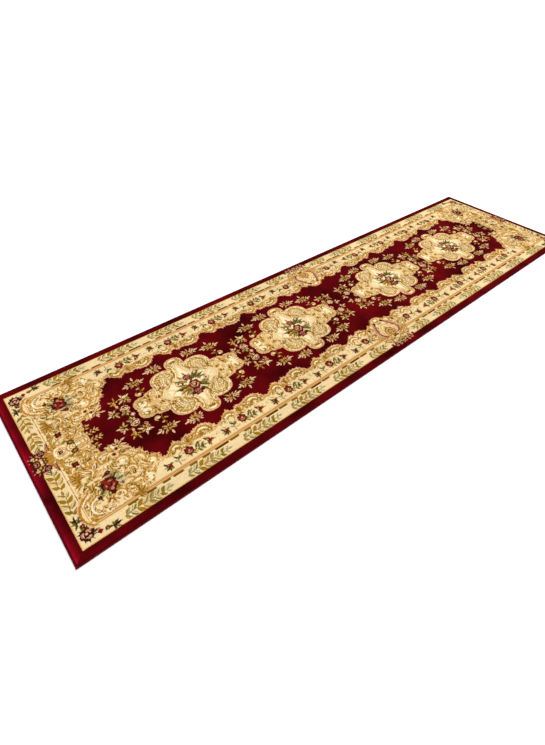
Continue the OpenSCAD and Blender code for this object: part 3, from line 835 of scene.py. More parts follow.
def medallion(paper, index):
    """The lower half of a medallion."""
    centre = MEDALLIONS[index]
    at = about((centre, ROW))
    outline = medallion_outline(centre)
    ground, shells = f"pile_medallion_{index + 1}", "pile_medallion_shells"
    paper.of(shells).fill(outline, SAND)
    hubs = ((78, -78, 1), (150, -30, -1), (20, -140, 1), (112, -40, 1))
    swirls = [(*at(side * u, v), side * way) for side in (-1, 1) for u, v, way in hubs]
    foliage(paper, outline, swirls, BRIGHT, 30, 12, 27, 10, STRAW)
    paper.of(ground)
    glade = [
        (-122, 4), (-118, -14), (-104, -30), (-84, -42), (-62, -46), (-44, -56), (-26, -72), (-13, -94),
        (-9, -118), (0, -132),
    ]
    mirrored = [(-u, v) for u, v in glade[-2::-1]]
    glade = smooth(glade + mirrored + [(60, 8), (-60, 8)], True)
    paper.fill(glade + at(0, 0), IVORY)
    paper.line(glade * 0.94 + at(0, 0), 2.6, SAND)
    paper.fill(glade * 0.8 + at(0, 0), CREAM)
    for side in (-1, 1):
        for u, v, turn, length in (
            (96, -22, 150, 34), (84, -6, 175, 30), (60, -34, 130, 30), (36, -56, 110, 30),
            (22, -92, 96, 34),
        ):
            leaf(paper, at(side * u, v), turn if side > 0 else 180 - turn, BLUSH, length, 7, IVORY, 2)
    for side in (-1, 1):
        paper.disc(at(side * 205, -25), 22, CREAM)
        paper.fill(smooth(
            [at(side * 180, 6), at(side * 186, -6), at(side * 226, -4), at(side * 226, 6)], True,
        ), CREAM)
    paper.disc(at(0, -148), 19, CREAM, 0.8)
    for side in (-1, 1):
        flip = lambda angle: angle if side > 0 else 180 - angle
        paper.of(shells)
        hub = at(side * 76, -78)
        paper.only(outline)
        lobe = [hub + polar(angle, 43) for angle in range(0, 360, 15)]
        foliage(paper, lobe, [(*(hub + (0, 30)), side)], STIPPLE, 31, 7.5, 17, 6, None)
        paper.only(outline)
        for k in range(8):
            start = 150 + 29 * k
            crescent(paper, hub, 42, flip(start), flip(start + 24), 4, CREAM if k % 2 else IVORY)
        crescent(paper, hub, 37, flip(160), flip(375), 2.6, ANTIQUE)
        for k in range(7):
            yarn, shade = ((ANTIQUE, CREAM), (STRAW, BRONZE), (GOLD, CREAM), (CREAM, ANTIQUE))[k % 4]
            foot = hub + (side * (36 - 9 * k), 36 - 0.5 * k)
            leaf(paper, foot, flip(-82 - 10 * k), yarn, 54 - 2 * abs(k - 3), 7.5, shade, 5 * side)
        paper.only()
        for k in range(3):
            leaf(
                paper, hub + (side * (18 - 22 * k), 34), flip(20 + 30 * k), (BROWN, ANTIQUE, GOLD)[k], 26,
                8, CREAM, 2,
            )
        leaves(paper, [
            (40, -62, 250, GOLD, 44, 9, BRONZE, 3), (27, -88, 262, ANTIQUE, 48, 10, CREAM, 2),
            (16, -102, 274, GOLD, 34, 6, STRAW, 1),
        ], at=at, side=side)
        rib = [at(side * u, v) for u, v in ((36, -54), (22, -84), (18, -112), (26, -134))]
        paper.line(smooth(rib), 3, CREAM)
        paper.arc(at(side * 22, -140), 12, 90, 90 + side * 300, 3, GOLD, 0.5)
        crescents(
            paper, at(side * 205, -25), [(20, 170, 440, 6, STRAW), (12, 150, 420, 6, GOLD)], side=side,
        )
        crescent(paper, at(side * 204, -27), 6, flip(60), flip(300), 4, OLIVE)
        leaves(paper, [
            (186, -4, 20, STRAW, 34, 8, GOLD), (184, -10, 250, GOLD, 34, 9, STRAW),
        ], 2, at=at, side=side)
        scroll(paper, at(side * 146, -44), 15, flip(60), flip(-150))
        for along, up, yarn in (
            (176, -8, GOLD), (160, -8, PEACH), (146, -12, GOLD), (132, -14, PEACH), (118, -20, GOLD),
            (128, -32, PEACH), (108, -34, GOLD),
        ):
            shade = CREAM if yarn == PEACH else BRONZE
            leaf(paper, at(side * along, up), flip(240), yarn, 16, 8, shade)
        leaves(
            paper, [(172, -16, 250), (166, -34, 262), (136, -6, 250), (114, -44, 230)], BROWN, 19, 8,
            BRONZE, 0, STRAW, at=at, side=side,
        )
        leaves(
            paper, [(196, -40, 330), (214, -34, 20), (192, -14, 290), (150, -54, 200), (124, -56, 240)],
            ANTIQUE, 15, 6, CREAM, 1, at=at, side=side,
        )
        leaves(paper, [
            (96, -26, 210, GOLD, 30, 8, STRAW), (70, -42, 232, STRAW, 26, 7, GOLD),
        ], 2, at=at, side=side)
    for k in range(7):
        leaf(
            paper, at(0, -152), 18 + 24 * k, BROWN if k in (1, 3, 5) else GOLD, 20, 8,
            STRAW if k % 2 else None,
        )
    crescent(paper, at(0, -146), 21, 195, 345, 4, GOLD)
    for side in (-1, 1):
        paper.arc(at(side * 27, -134), 9, 90, 90 - side * 300, 3.4, ANTIQUE, 0.4)
        paper.disc(at(side * 40, -160), 11, BURGUNDY)
        for u, v in ((-30, 6), (-70, 12), (-96, -8), (-84, -24), (-56, -30), (-30, -56)):
            leaf(paper, at(side * u, v), 40 + 3 * u, MIST, 22, 8, IVORY, 2)
    paper.of("pile_medallion_edging").line(outline, 4.6, PEACH)


def bough(paper, foot, turn, length, yarns, curl):
    """A small branch over the field: a stem with pairs of pointed leaves and one at its tip."""
    bends = [(0, 0), (length * 0.35, curl * 0.7), (length * 0.75, curl), (length, curl * 0.6)]
    spine = placed(smooth(bends), foot, turn)
    paper.line(spine, 2.6, OLIVE)
    count = max(round(length / 22), 1)
    for k in range(count):
        place = spine[int((k + 0.5) / count * (len(spine) - 1) * 0.7)]
        yarn, shade = yarns[k % len(yarns)]
        size = 1 - 0.2 * k / count
        for side in (-1, 1):
            leaf(
                paper, place, turn + side * (56 - 8 * k), yarn, 19 * size, 7 * size, shade, 1.5 * side,
                BURGUNDY,
            )
    yarn, shade = yarns[-1]
    leaf(paper, spine[len(spine) // 2], turn, yarn, 24, 7.5, shade, 0, BURGUNDY)


PALE = ((STRAW, PEACH), (PEACH, IVORY), (IVORY, PEACH))
GREEN = ((OLIVE, STRAW), (SAGE, STRAW), (STRAW, SAGE))
DUSKY = ((BRONZE, STRAW), (PEACH, BRONZE), (STRAW, GOLD))


def field_sprays(paper):
    """The sprays and buds round each medallion, in the lower half."""
    for centre in MEDALLIONS:
        at = about((centre, ROW))
        paper.of("pile_field_sprays")
        for side in (-1, 1):
            flip = lambda angle: angle if side > 0 else 180 - angle
            place = at(171 if side > 0 else -180, -130)
            stem = smooth([at(side * 166, -60), at(side * 175, -84), at(side * 171, -106), place])
            paper.line(stem, 2.6, BRONZE)
            for angle, length, yarns in (
                (-96, 30, PALE), (-170, 36, PALE), (-6, 40, PALE), (-48, 14, GREEN), (-138, 14, DUSKY),
            ):
                bough(paper, place, flip(angle), length, yarns, 2)
            leaf(paper, place, flip(140), GOLD, 16, 8, PEACH, 1, BURGUNDY)
            leaf(paper, place, flip(48), GOLD, 18, 8, STRAW, 1, BURGUNDY)
            leaves(paper, [
                (172, -84, 204, BRONZE, 20, 8, STRAW), (172, -98, -14, STRAW, 16, 7, PEACH),
            ], 1, BURGUNDY, at=at, side=side)
            crescents(paper, at(side * 188, -76), [
                (9, 240, 240 + side * 250, 8, PEACH), (9, 250, 250 + side * 220, 3.5, STRAW),
            ])
            place = at(side * 82, -155)
            for angle, length, yarns in (
                (-4, 36, PALE), (-44, 12, PALE), (184, 36, PALE), (226, 14, PALE), (128, 8, DUSKY),
                (-90, 8, GREEN),
            ):
                bough(paper, place, flip(angle), length, yarns, 2)
        paper.of("pile_field_buds")
        for side in (-1, 1):
            blossoms(paper, [(96, -158, 8, PEACH, BARK), (64, -162, 7, PINK, MAROON)], 5, at=at, side=side)
            paper.disc(at(side * 186, -74), 4.5, CREAM)
        cluster(paper, at)
    middle_cluster(paper)


def cluster(paper, at):
    """The group on the side of a medallion that looks to the rug's end."""
    paper.of("pile_field_sprays")
    paper.line(smooth([at(-306, -48), at(-284, -58), at(-262, -40), at(-262, -10)]), 2.6, OLIVE)
    paper.line(smooth([at(-262, -50), at(-248, -74), at(-238, -96)]), 2.6, OLIVE)
    for (u, v), arms in (
        ((-303, -40), ((164, 10, PALE), (-120, 10, PALE), (70, 8, GREEN))),
        ((-282, -84), ((-80, 16, DUSKY), (226, 8, DUSKY))),
        ((-244, -86), ((150, 8, PALE), (-104, 14, PALE), (-36, 12, PALE), (40, 8, DUSKY))),
    ):
        for angle, length, yarns in arms:
            bough(paper, at(u, v), angle, length, yarns, 1.5)
    leaves(paper, [
        (-284, -70, 262, GOLD, 30, 12, STRAW, 2), (-268, -22, 160, OLIVE, 20, 10, SAGE, 1),
        (-266, -22, 84, STRAW, 18, 11, OLIVE, 1), (-262, -22, 20, SAGE, 14, 8, STRAW, 1),
    ], BURGUNDY, at=at)
    paper.of("pile_field_buds")
    rose(paper, at(-261, -40), 17, PEACH, BROWN, CREAM, PEACH, 15)
    crescents(paper, at(-261, -40), [(11, 30, 200, 3.6, BROWN), (11, 230, 340, 3.6, MAROON)])
    discs(paper, [(-261, -40, 3.5, MAROON), (-281, -66, 6, PEACH), (-303, -40, 4.5, BARK)], at=at)
    blossoms(paper, [
        (-250, -1, 9, PINK, CREAM), (-232, -66, 7.5, PINK, MAROON), (-238, -96, 6.5, CREAM, BROWN),
    ], 4, at=at)


def end_sprays(paper):
    """Sprigs that leave the end cartouche and the corner for the field."""
    paper.of("pile_field_sprays")
    for foot, turn, length in (((198, 384), -4, 44), ((200, 364), -30, 28)):
        spine = placed(smooth([(0, 0), (length / 2, 2), (length, 0)]), foot, turn)
        paper.line(spine, 2.6, OLIVE)
        for k, along in enumerate(np.arange(8, length, 7)):
            yarn, shade = ((STRAW, PEACH), (GOLD, STRAW), (OLIVE, STRAW), (PEACH, GOLD))[k % 4]
            leaf(
                paper, placed([(along, 0)], foot, turn)[0], turn + (50 if k % 2 else -50), yarn, 17, 6.5,
                shade, 1,
            )
        leaf(paper, spine[-1], turn, STRAW, 12, 6, PEACH)
    for angle, length in ((78, 10), (24, 24), (-24, 10)):
        bough(paper, (272.0, 309), angle, length, PALE, 1.5)


def middle_cluster(paper):
    """The group between the two middle medallions, left of the rug's middle."""
    at = about((HALF_LENGTH, ROW))
    paper.of("pile_field_sprays")
    paper.line(smooth([at(-92, -10), at(-84, -40), at(-66, -62), at(-40, -84)]), 3, OLIVE)
    paper.line(smooth([at(-76, -50), at(-84, -76), at(-92, -96)]), 3, BRONZE)
    for (u, v), arms in (
        ((-78, -46), ((160, 12, PALE), (-160, 8, DUSKY))),
        ((-86, -84), ((-100, 14, PALE), (-156, 10, PALE), (-40, 8, GREEN))),
        ((-46, -76), ((-90, 18, PALE), (-34, 12, PALE), (60, 8, DUSKY))), ((-40, -26), ((20, 12, PALE),)),
        ((-84, -14), ((120, 10, PALE),)),
    ):
        for angle, length, yarns in arms:
            bough(paper, at(u, v), angle, length, yarns, 1.5)
    paper.of("pile_field_buds")
    rose(paper, at(-60, -38), 15, PEACH, RED, CREAM, BROWN, 30)
    blossoms(paper, [(-36, -12, 7, PINK, CREAM), (-84, -62, 6.5, PEACH, BROWN)], 5, at=at)


# ---------------------------------------------------------------- the whole rug


def bouquet(paper, centre):
    """The flowers in the middle of a medallion, the same way up in all four."""
    at = about((centre, ROW))
    paper.of("pile_medallion_bouquets")
    leaves(paper, [
        (-14, -8, 176, OLIVE, 60, 16, MOSS), (-14, -14, 198, GOLD, 54, 14, OLIVE),
        (-14, -4, 152, BRONZE, 50, 14, GOLD), (-12, -20, 216, OLIVE, 50, 13, GOLD),
        (-12, -30, 238, OLIVE, 44, 12, MOSS), (-20, -24, 262, MOSS, 36, 11, None),
        (-8, -36, 205, SAGE, 38, 12, OLIVE), (-14, 14, 142, MOSS, 52, 13, OLIVE),
        (-8, 24, 120, GOLD, 48, 12, OLIVE), (-6, 18, 165, SAGE, 36, 12, OLIVE),
        (-10, 10, 128, OLIVE, 40, 11, GOLD), (18, 14, 60, MOSS, 46, 13, OLIVE),
        (22, 16, 38, OLIVE, 50, 13, MOSS), (26, 12, 18, MOSS, 50, 12, OLIVE),
        (16, 24, 84, OLIVE, 32, 11, GOLD), (30, 6, 4, OLIVE, 40, 11, ANTIQUE),
        (32, -18, -10, SAGE, 38, 13, OLIVE), (26, -28, -36, MOSS, 40, 14, OLIVE),
        (26, -22, -22, OLIVE, 40, 11, None), (20, -40, -62, OLIVE, 40, 12, MOSS),
        (8, 6, 74, BROWN, 36, 11, BRONZE), (8, -46, -88, MOSS, 28, 11, OLIVE),
        (-6, -48, -112, OLIVE, 28, 10, None), (52, -14, -60, OLIVE, 24, 8, None),
        (60, -4, 60, SAGE, 20, 8, OLIVE), (4, 46, 100, BRONZE, 26, 9, None),
    ], 2, at=at)
    rose(paper, at(0, 36), 17, BROWN, RED, PINK, MAROON, 10)
    discs(paper, [(-20, 36, 6, PEACH), (16, 44, 5, PINK)], at=at)
    rose(paper, at(8, -14), 26, BROWN, RED, PEACH, MAROON, 45)
    for start, yarn in ((10, MAROON), (150, RED), (80, BROWN), (240, MAROON)):
        crescent(paper, at(8, -14), 21, start, start + 66, 5, yarn)
    for u, v in ((-6, -2), (22, -20), (10, -30), (-2, -22)):
        paper.disc(at(u, v), 3.4, PINK)
    rose(paper, at(0, -52), 20, MAROON, RED, PINK, MAROON, 0)
    for side in (-18, 20):
        paper.disc(at(side, -54), 8, MAROON)
        paper.disc(at(side, -50), 3, RED)
    rose(paper, at(64, -10), 12, PINK, PEACH, CREAM, MAROON, 0)
    paper.disc(at(63, -9), 4.5, MAROON)
    blossom(paper, at(-49, -14), 7, BARK, MOSS, 4)
    discs(paper, [(-30, 14, 4.5, BARK), (-44, 24, 4, MOSS)], at=at)
    blossom(paper, at(40, 30), 6, BROWN, GOLD, 4)


def draw():
    """(the yarn, the area) of every tuft, rows along the rug's length and columns across it."""
    quarter = Paper(HALF_LENGTH, HALF_WIDTH)
    border_ground(quarter)
    field_sprays(quarter)
    scallop_lining(quarter)
    plain_bands(quarter)
    guard_stripe(quarter)
    corner_scrolls(quarter)
    corner_roses(quarter)
    corner_bouquet(quarter)
    border_flowers(quarter)
    end_cartouche(quarter)
    end_flowers(quarter)
    end_sprays(quarter)
    side_cartouche(quarter)
    side_fans(quarter)
    for index in range(2):
        medallion(quarter, index)

    whole = Paper(LENGTH, WIDTH)
    for name in ("yarn", "area"):
        side = np.hstack([getattr(quarter, name), getattr(quarter, name)[:, ::-1]])
        setattr(whole, name, np.vstack([side, side[::-1]]))
    far = slice(round(HALF_LENGTH / KNOT), None)
    for near_name, far_name in (
        ("pile_medallion_1", "pile_medallion_4"), ("pile_medallion_2", "pile_medallion_3"),
    ):
        half = whole.area[far]
        half[half == AREAS.index(near_name)] = AREAS.index(far_name)
    for centre in (*MEDALLIONS, *(LENGTH - m for m in MEDALLIONS)):
        bouquet(whole, centre)
    return whole.yarn, whole.area


# ---------------------------------------------------------------- materials


def linear(code):
    """A colour code as linear light."""
    c = np.array([int(code[i : i + 2], 16) for i in (0, 2, 4)]) / 255
    return np.where(c < 0.04045, c / 12.92, ((c + 0.055) / 1.055) ** 2.4)


class Nodes:
    """A material's node tree, with short calls for what all of them need."""

    def __init__(self, name, rough, sheen=0.0, tint="ffffff", gloss=0.02):
        self.material = bpy.data.materials.new(name)
        self.material.use_nodes = True
        self.tree = self.material.node_tree
        self.shader = self.tree.nodes["Principled BSDF"]
        for key, value in {
            "Roughness": rough, "Sheen Weight": sheen, "Sheen Roughness": 0.4,
            "Sheen Tint": (*linear(tint), 1), "Specular IOR Level": gloss,
        }.items():
            self.shader.inputs[key].default_value = value
        self.place = self.add("ShaderNodeTexCoord").outputs["Object"]

    def add(self, kind, values=(), **settings):
        node = self.tree.nodes.new(kind)
        for key, value in settings.items():
            setattr(node, key, value)
        for key, value in dict(values).items():
            if isinstance(value, bpy.types.NodeSocket):
                self.tree.links.new(value, node.inputs[key])
            else:
                node.inputs[key].default_value = value
        return node

    def noise(self, scale, detail=2.0, stretch=(1, 1, 1)):
        """Noise from 0 to 1. scale is in features a metre."""
        place = self.add("ShaderNodeMapping", {"Vector": self.place, "Scale": stretch}).outputs[0]
        values = {"Vector": place, "Scale": scale, "Detail": detail}
        return self.add("ShaderNodeTexNoise", values).outputs["Fac"]

    def wave(self, scale, distortion, direction):
        """Bands from 0 to 1 across one direction."""
        values = {"Vector": self.place, "Scale": scale, "Distortion": distortion, "Detail": 2.0}
        return self.add("ShaderNodeTexWave", values, bands_direction=direction).outputs["Fac"]

    def ranged(self, value, low, high, start=0.3, end=0.7):
        """The value stretched from start..end to low..high."""
        sizes = {"Value": value, "From Min": start, "From Max": end, "To Min": low, "To Max": high}
        return self.add("ShaderNodeMapRange", sizes).outputs[0]

    def times(self, colour, *factors):
        """The colour brighter or darker by every factor."""
        for factor in factors:
            mixed = self.add("ShaderNodeVectorMath", {0: colour}, operation="SCALE")
            self.tree.links.new(factor, mixed.inputs["Scale"])
            colour = mixed.outputs[0]
        return colour

    def connect(self, colour, rough, height, depth):
        """Links the colour, the roughness and a bump that is depth metres deep."""
        self.tree.links.new(colour, self.shader.inputs["Base Color"])
        self.tree.links.new(rough, self.shader.inputs["Roughness"])
        bump = self.add("ShaderNodeBump", {"Height": height, "Distance": depth, "Strength": 0.6})
        self.tree.links.new(bump.outputs[0], self.shader.inputs["Normal"])
        return self.material


def pile_material(name, tone_and_painted_light, sheen, tint):
    """Cut pile in the yarn of each tuft: dye that varies, broad patches where the lay catches the light, and
    loose fibres. On the burgundy the patches are painted light and shade, on the other yarns a slight random
    tone.
    """
    m = Nodes(name, 0.9, sheen, tint)
    # The yarn attribute carries painted shade in the dips and on the outer sides of the tufts and a painted
    # highlight on their tips
    yarn = m.add("ShaderNodeAttribute", attribute_name="yarn").outputs["Color"]
    # Broad patches: painted light and shade on the burgundy, slight random tone on the other yarns
    lay = m.ranged(m.noise(5, 3), 1 - tone_and_painted_light, 1 + tone_and_painted_light)
    streaks = m.ranged(m.noise(60, 2, (0.06, 6, 1)), 0.955, 1.045)
    fibres = m.noise(1300, 2)
    colour = m.times(yarn, lay, streaks, m.ranged(fibres, 0.84, 1.14))
    return m.connect(colour, m.ranged(fibres, 0.8, 0.98), fibres, 0.0004)


def yarn_material(name, code, bright, pitch):
    """Twisted yarn wound over an edge."""
    m = Nodes(name, 0.75, 0.1, "ff6070")
    base = tuple(linear(code))
    twist = m.wave(pitch, 3.0, "DIAGONAL")
    tone = m.ranged(m.noise(500, 3), 1 - bright, 1 + bright)
    colour = m.times(base, tone, m.ranged(twist, 0.85, 1.12, 0, 1))
    return m.connect(colour, m.ranged(twist, 0.7, 0.9, 0, 1), twist, 0.0003)


def backing_material(name, code, ribs, rough, gloss):
    """Jute or latex: ribs across the rug, slubs and small stains."""
    m = Nodes(name, rough, gloss=gloss)
    base = tuple(linear(code))
    warp = m.wave(ribs, 1.5, "Y")
    slubs = m.noise(240, 4, (0.3, 1, 1))
    stains = m.ranged(m.noise(9, 4), 0.88, 1.08)
    colour = m.times(base, stains, m.ranged(slubs, 0.82, 1.12), m.ranged(warp, 0.93, 1.04, 0, 1))
    return m.connect(colour, m.ranged(slubs, rough - 0.12, rough + 0.1), slubs, 0.0003)


# ---------------------------------------------------------------- pieces

YARN_TURN = 2.7 * MM  # from one turn of the overcast yarn to the next
RIBS = 350  # the scale of the backing's wave
CUTS = (900, 1500, 2100)  # mm, where long pieces are parted, between the medallions


def add_piece(name, points, faces, material, node):
    """A piece from points, in metres, and faces that all have the same number of corners."""
    mesh = bpy.data.meshes.new(name)
    mesh.vertices.add(len(points))
    mesh.vertices.foreach_set("co", np.asarray(points, np.float32).ravel())
    mesh.loops.add(faces.size)
    mesh.loops.foreach_set("vertex_index", faces.astype(np.int32).ravel())
    mesh.polygons.add(len(faces))
    mesh.polygons.foreach_set("loop_start", np.arange(0, faces.size, faces.shape[1], dtype=np.int32))
    mesh.update(calc_edges=True)
    mesh.shade_flat()
    mesh.materials.append(material)
    piece = bpy.data.objects.new(name, mesh)
    bpy.context.scene.collection.objects.link(piece)
    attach(piece, "root")
    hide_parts(node)
    return piece


SLOT_OF = {f"pile_{area}": f"{slot}_pile" for area, slot in AREA_SLOTS.items()}

pile_low, pile_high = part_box("pile_outer_band")
FOOT, TIP = pile_low.z, pile_high.z
ORIGIN = np.array([cad_box[0].x, cad_box[0].y, 0])
DIP = 0.9 * MM  # how far the gaps between tufts lie under their tips
DIP_JITTER = np.array([0.16, 0.16, 0.16])  # mm
TIP_JITTER = np.array([0.3, 0.3, 0.15])  # mm
# Painted shade in the dips between tufts, a painted highlight on their tips and painted shade on the rug's
# outer sides
DIP_PAINTED_SHADE, TIP_PAINTED_HIGHLIGHT, SIDE_PAINTED_SHADE = 0.8, 1.08, 0.85  # of the yarn's colour


class Pile:
    """Every tuft of the rug: where its tip is, and where the dips round it are."""

    def __init__(self, yarn, first):
        """first is the row and the column of the outermost tuft, inside the overcast edge."""
        self.yarn = yarn
        rows, columns = yarn.shape
        self.first, self.last = (first, first), (rows - 1 - first, columns - 1 - first)
        rng = np.random.default_rng(11)
        self.dips = self.grid(rows + 1, columns + 1, 0)
        self.dips += np.clip(rng.normal(0, 1, self.dips.shape), -2, 2) * DIP_JITTER * MM
        self.dips[..., 2] -= DIP
        self.tips = self.grid(rows, columns, 0.5)
        self.tips += np.clip(rng.normal(0, 1, self.tips.shape), -2, 2) * TIP_JITTER * MM
        self.tone = 1 + np.clip(rng.normal(0, 0.055, yarn.shape), -0.13, 0.13)
        self.palette = np.array([linear(code) for code in YARNS.values()])

    def grid(self, rows, columns, shift):
        u, v = np.meshgrid(
            (np.arange(rows) + shift) * KNOT, (np.arange(columns) + shift) * KNOT, indexing="ij",
        )
        # the rug's pile isn't quite level: it is fuller in some places
        lay = 0.22 * (np.sin(u / 37 + 1.3 * np.sin(v / 61)) + np.sin(v / 29 + 1.7 * np.sin(u / 83)))
        points = np.stack([u * MM, v * MM, TIP + (lay - 0.45) * MM], -1)
        return points + ORIGIN

    def piece(self, name, node, chosen, material):
        """The chosen tufts as one piece."""
        i, j = np.nonzero(chosen)
        columns = self.dips.shape[1]
        near, far = i * columns + j, (i + 1) * columns + j
        ring = np.stack([near, far, far + 1, near + 1], 1)
        used, ring = np.unique(ring, return_inverse=True)
        ring = ring.reshape(-1, 4)
        dips = self.dips.reshape(-1, 3)[used]
        tip = len(dips) + np.arange(len(i))
        faces = np.stack([ring, np.roll(ring, -1, 1), np.repeat(tip[:, None], 4, 1)], 2).reshape(-1, 3)
        points = [dips, self.tips[i, j]]
        colour = self.palette[self.yarn[i, j]] * self.tone[i, j, None]
        # painted shade: each face's two dip corners are darkened, and its tip corner is lightened as a
        # painted highlight
        corners = np.repeat(colour, 12, 0) * np.tile([DIP_PAINTED_SHADE, DIP_PAINTED_SHADE, TIP_PAINTED_HIGHLIGHT], len(i) * 4)[:, None]
        for side, (axis, sign) in enumerate(((1, -1), (0, 1), (1, 1), (0, -1))):
            rim = np.nonzero((i, j)[axis] == (self.first if sign < 0 else self.last)[axis])[0]
            if len(rim) == 0:
                continue
            out = np.zeros(3)
            out[axis] = sign * MM
            a, b = ring[rim, side], ring[rim, (side + 1) % 4]
            wall, lips = self.walls(dips, a, b, out, sum(map(len, points)))
            points.append(wall)
            faces = np.vstack([faces, lips])
            # painted shade on the outer sides of the edge tufts
            corners = np.vstack([corners, np.repeat(colour[rim] * SIDE_PAINTED_SHADE, 12, 0)])
        obj = add_piece(name, np.vstack(points), faces, material, node)
        # the yarn attribute holds the yarn colours with this painted shade and painted highlight
        tint = obj.data.attributes.new("yarn", "BYTE_COLOR", "CORNER")
        colours_with_painted_shade = np.hstack([corners, np.ones((len(corners), 1))]).astype(np.float32)
        tint.data.foreach_set("color", colours_with_painted_shade.ravel())
        return obj

    def walls(self, dips, a, b, out, first):
        """The outer side of a row of tufts, down to the weave: each bulges a little over the edge."""
        count = len(a)
        foot_a, foot_b = dips[a].copy(), dips[b].copy()
        foot_a[:, 2] = foot_b[:, 2] = FOOT
        belly = (dips[a] + dips[b]) / 2 + out * 0.7
        belly[:, 2] = (FOOT + TIP) / 2
        k = first + np.arange(count)
        fa, fb, mid = k, k + count, k + 2 * count
        fans = [(b, a, mid), (a, fa, mid), (fa, fb, mid), (fb, b, mid)]
        return np.vstack([foot_a, foot_b, belly]), np.stack([np.stack(f, 1) for f in fans], 1).reshape(-1, 3)


def lay_pile():
    """Every colour area of the drawing as tufts, in one piece or parted at the cuts."""
    yarn, area = draw()
    first = int(SERGING / KNOT) + 1
    pile = Pile(yarn, first)
    inner = np.zeros(yarn.shape, bool)
    inner[first : yarn.shape[0] - first, first : yarn.shape[1] - first] = True
    along = np.arange(yarn.shape[0])[:, None] * KNOT
    bay = sum((along >= cut).astype(int) for cut in CUTS) + np.zeros(yarn.shape, int)
    # How patchy the pile is (on the burgundy broad painted light and shade, elsewhere slight random tone),
    # its sheen and the sheen's tint
    finish = {
        "burgundy_pile": (0.8, 0.06, "d01028"), "ivory_pile": (0.05, 0.05, "fff0c8"),
        "gold_pile": (0.07, 0.05, "ffe0a0"), "olive_pile": (0.07, 0.05, "e0d090"),
        "brown_pile": (0.07, 0.05, "c08050"), "flower_pile": (0.06, 0.05, "e09080"),
    }
    materials = {slot: pile_material(slot, *facts) for slot, facts in finish.items()}
    made = []
    for number, node in enumerate(AREAS):
        here = inner & (area == number)
        parts = [k for k in range(4) if (here & (bay == k)).any()]
        whole = len(parts) == 1 or node.startswith("pile_side")
        for k in [None] if whole else parts:
            chosen = here if k is None else here & (bay == k)
            name = f"{node}_tufts" if k is None else f"{node}_tufts_{k + 1}"
            made.append(pile.piece(name, node, chosen, materials[SLOT_OF[node]]))
    return made


def overcast(node, material):
    """Yarn wound over an edge, one turn beside the next."""
    low, high = (np.array(p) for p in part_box(node))
    across = int(np.argmin((high - low)[:2]))
    along = 1 - across
    outward = -1 if low[across] < 0 else 1
    width, height = (high - low)[across], high[2]
    section = np.array([
        (1.0, 0.03), (0.6, 0.02), (0.25, 0.1), (0.06, 0.3), (0.04, 0.58), (0.18, 0.84), (0.42, 0.95),
        (0.7, 0.94), (0.93, 0.84), (1.0, 0.5),
    ]) * (width, height)
    middle = np.array([width * 0.55, height * 0.5])
    turns = int(round((high - low)[along] / YARN_TURN))
    steps = 4
    rng = np.random.default_rng(3)
    around = len(section)
    ring = np.arange(turns * steps + 1)
    lean = np.linspace(0, 1, around, endpoint=False)
    t = ring[:, None] / steps + lean[None, :]
    full = np.abs(np.sin(np.pi * t)) ** 0.7
    size = 0.9 + 0.13 * full * (0.85 + 0.3 * rng.random((turns * steps + 1, 1)))
    p = middle + (section[None] - middle) * size[..., None]
    s = low[along] + (high - low)[along] * ring / ring[-1]
    points = np.zeros((len(ring), around, 3))
    points[..., along] = s[:, None] + 0.2 * MM * rng.normal(0, 1, (len(ring), 1))
    points[..., along] = np.clip(points[..., along], low[along], high[along])
    edge = low[across] if outward < 0 else high[across]
    points[..., across] = edge - outward * p[..., 0]
    points[..., 2] = np.maximum(p[..., 1], 0)
    index = np.arange(len(ring) * around).reshape(len(ring), around)
    a, b = index[:-1], index[1:]
    quads = np.stack([a, b, np.roll(b, -1, 1), np.roll(a, -1, 1)], -1).reshape(-1, 4)
    if (outward < 0) == (along == 0):
        quads = quads[:, ::-1]
    caps = []
    extra = points[[0, -1]].mean(1)
    flat = points.reshape(-1, 3)
    for end, (row, hub) in enumerate(((index[0], len(flat)), (index[-1], len(flat) + 1))):
        nxt = np.roll(row, -1)
        pair = (nxt, row) if end == 0 else (row, nxt)
        if (outward < 0) == (along == 0):
            pair = pair[::-1]
        caps.append(np.stack([*pair, np.full(around, hub)], 1))
    triangles = np.vstack([quads[:, [0, 1, 2]], quads[:, [0, 2, 3]], *caps])
    return add_piece(f"{node}_yarn", np.vstack([flat, extra]), triangles, material, node)


def slab(name, node, material, pitch, columns, relief_top, relief_bottom):
    """A closed sheet with ribs across the rug. The reliefs are their depths."""
    low, high = (np.array(p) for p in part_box(node))
    rows = int((high - low)[0] / pitch) * 2
    x = np.linspace(low[0], high[0], rows + 1)
    y = np.linspace(low[1], high[1], columns + 1)
    gx, gy = np.meshgrid(x, y, indexing="ij")
    rng = np.random.default_rng(19)
    wave = (np.arange(rows + 1) % 2)[:, None] * (0.75 + 0.25 * rng.random(gx.shape))
    top = np.stack([gx, gy, high[2] - relief_top * wave], -1)
    bottom = np.stack([gx, gy, low[2] + relief_bottom * (wave + 0.15 * rng.random(gx.shape))], -1)
    index = np.arange(gx.size).reshape(gx.shape)
    a, b, c, d = index[:-1, :-1], index[1:, :-1], index[1:, 1:], index[:-1, 1:]
    up = np.stack([a, b, c, d], -1).reshape(-1, 4)
    down = up[:, ::-1] + gx.size
    rim = np.concatenate([index[:-1, 0], index[-1, :-1], index[:0:-1, -1], index[0, :0:-1]])
    after = np.roll(rim, -1)
    sides = np.stack([rim, rim + gx.size, after + gx.size, after], 1)
    points = np.vstack([top.reshape(-1, 3), bottom.reshape(-1, 3)])
    return add_piece(name, points, np.vstack([up, down, sides]), material, node)


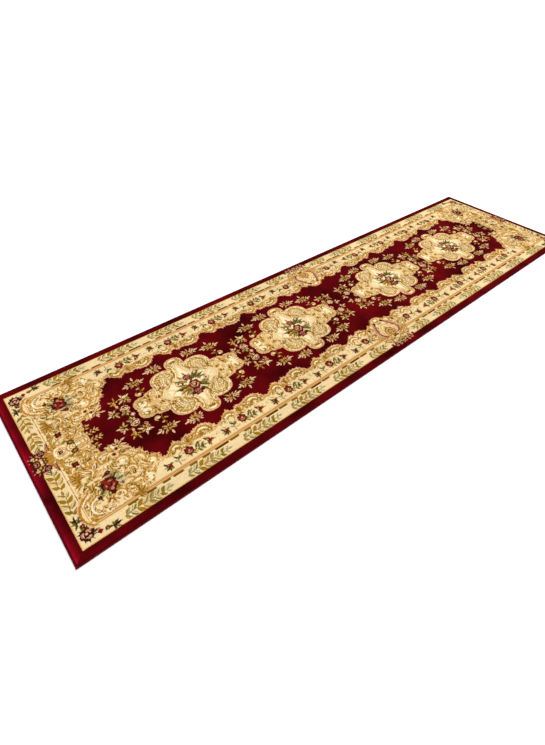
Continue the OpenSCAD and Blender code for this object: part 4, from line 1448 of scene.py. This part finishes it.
tufts = lay_pile()
edge_yarn = yarn_material("edge_yarn", "560711", 0.16, 160)
EDGES = ("serging_front", "serging_back", "binding_near", "binding_far")
edges = [overcast(node, edge_yarn) for node in EDGES]
latex = backing_material("back_coat", "cbb994", RIBS, 0.6, 0.4)
jute = backing_material("ground_weave", "b79a63", RIBS, 0.92, 0.1)
back = slab("latex_back_coat_ribs", "latex_back_coat", latex, 3 * MM, 14, 0, 0.12 * MM)
weave = slab("ground_weave_cloth", "ground_weave", jute, 2.5 * MM, 18, 0.5 * MM, 0.4 * MM)

# ---------------------------------------------------------------- studio

scene = bpy.context.scene
scene.view_settings.view_transform = "Standard"
scene.view_settings.exposure = 0.0


def plain_floor():
    """A white floor that catches the rug's shadow."""
    size = FLOOR_HALF
    mesh = bpy.data.meshes.new("floor")
    corners = [(-size, -size, 0), (size, -size, 0), (size, size, 0), (-size, size, 0)]
    mesh.from_pydata(corners, [], [(0, 1, 2, 3)])
    m = Nodes("floor", 0.9)
    white = m.ranged(m.noise(0.5), 0.97, 0.99)
    colour = m.add("ShaderNodeCombineColor", {0: white, 1: white, 2: white}).outputs[0]
    mesh.materials.append(m.connect(colour, m.ranged(white, 0.9, 0.95), white, 0.0))
    floor = bpy.data.objects.new("floor", mesh)
    floor.location.z = FLOOR_PLACE
    scene.collection.objects.link(floor)


plain_floor()
world = bpy.data.worlds.new("studio")
scene.world = world
world.use_nodes = True
background = world.node_tree.nodes["Background"]
background.inputs["Color"].default_value = (1, 1, 1, 1)
background.inputs["Strength"].default_value = 1.0

glow = bpy.data.objects.new("far_softbox", bpy.data.lights.new("far_softbox", "AREA"))
glow.data.shape = "RECTANGLE"
glow.data.size, glow.data.size_y = FAR_GLOW_SIZE
glow.data.energy = FAR_GLOW
glow.location = FAR_GLOW_PLACE
scene.collection.objects.link(glow)

sun = bpy.data.objects.new("key", bpy.data.lights.new("key", "SUN"))
sun.data.energy, sun.data.angle = SUN_POWER, math.radians(SUN_SPREAD)
sun.rotation_euler = [math.radians(angle) for angle in SUN_TURN]
scene.collection.objects.link(sun)

camera = bpy.data.objects.new("camera", bpy.data.cameras.new("camera"))
camera.data.lens, camera.data.sensor_width = LENS, SENSOR
camera.location = CAMERA_PLACE
camera.rotation_euler = [math.radians(angle) for angle in CAMERA_TURN]
camera.data.clip_start = 0.01
scene.collection.objects.link(camera)
scene.camera = camera
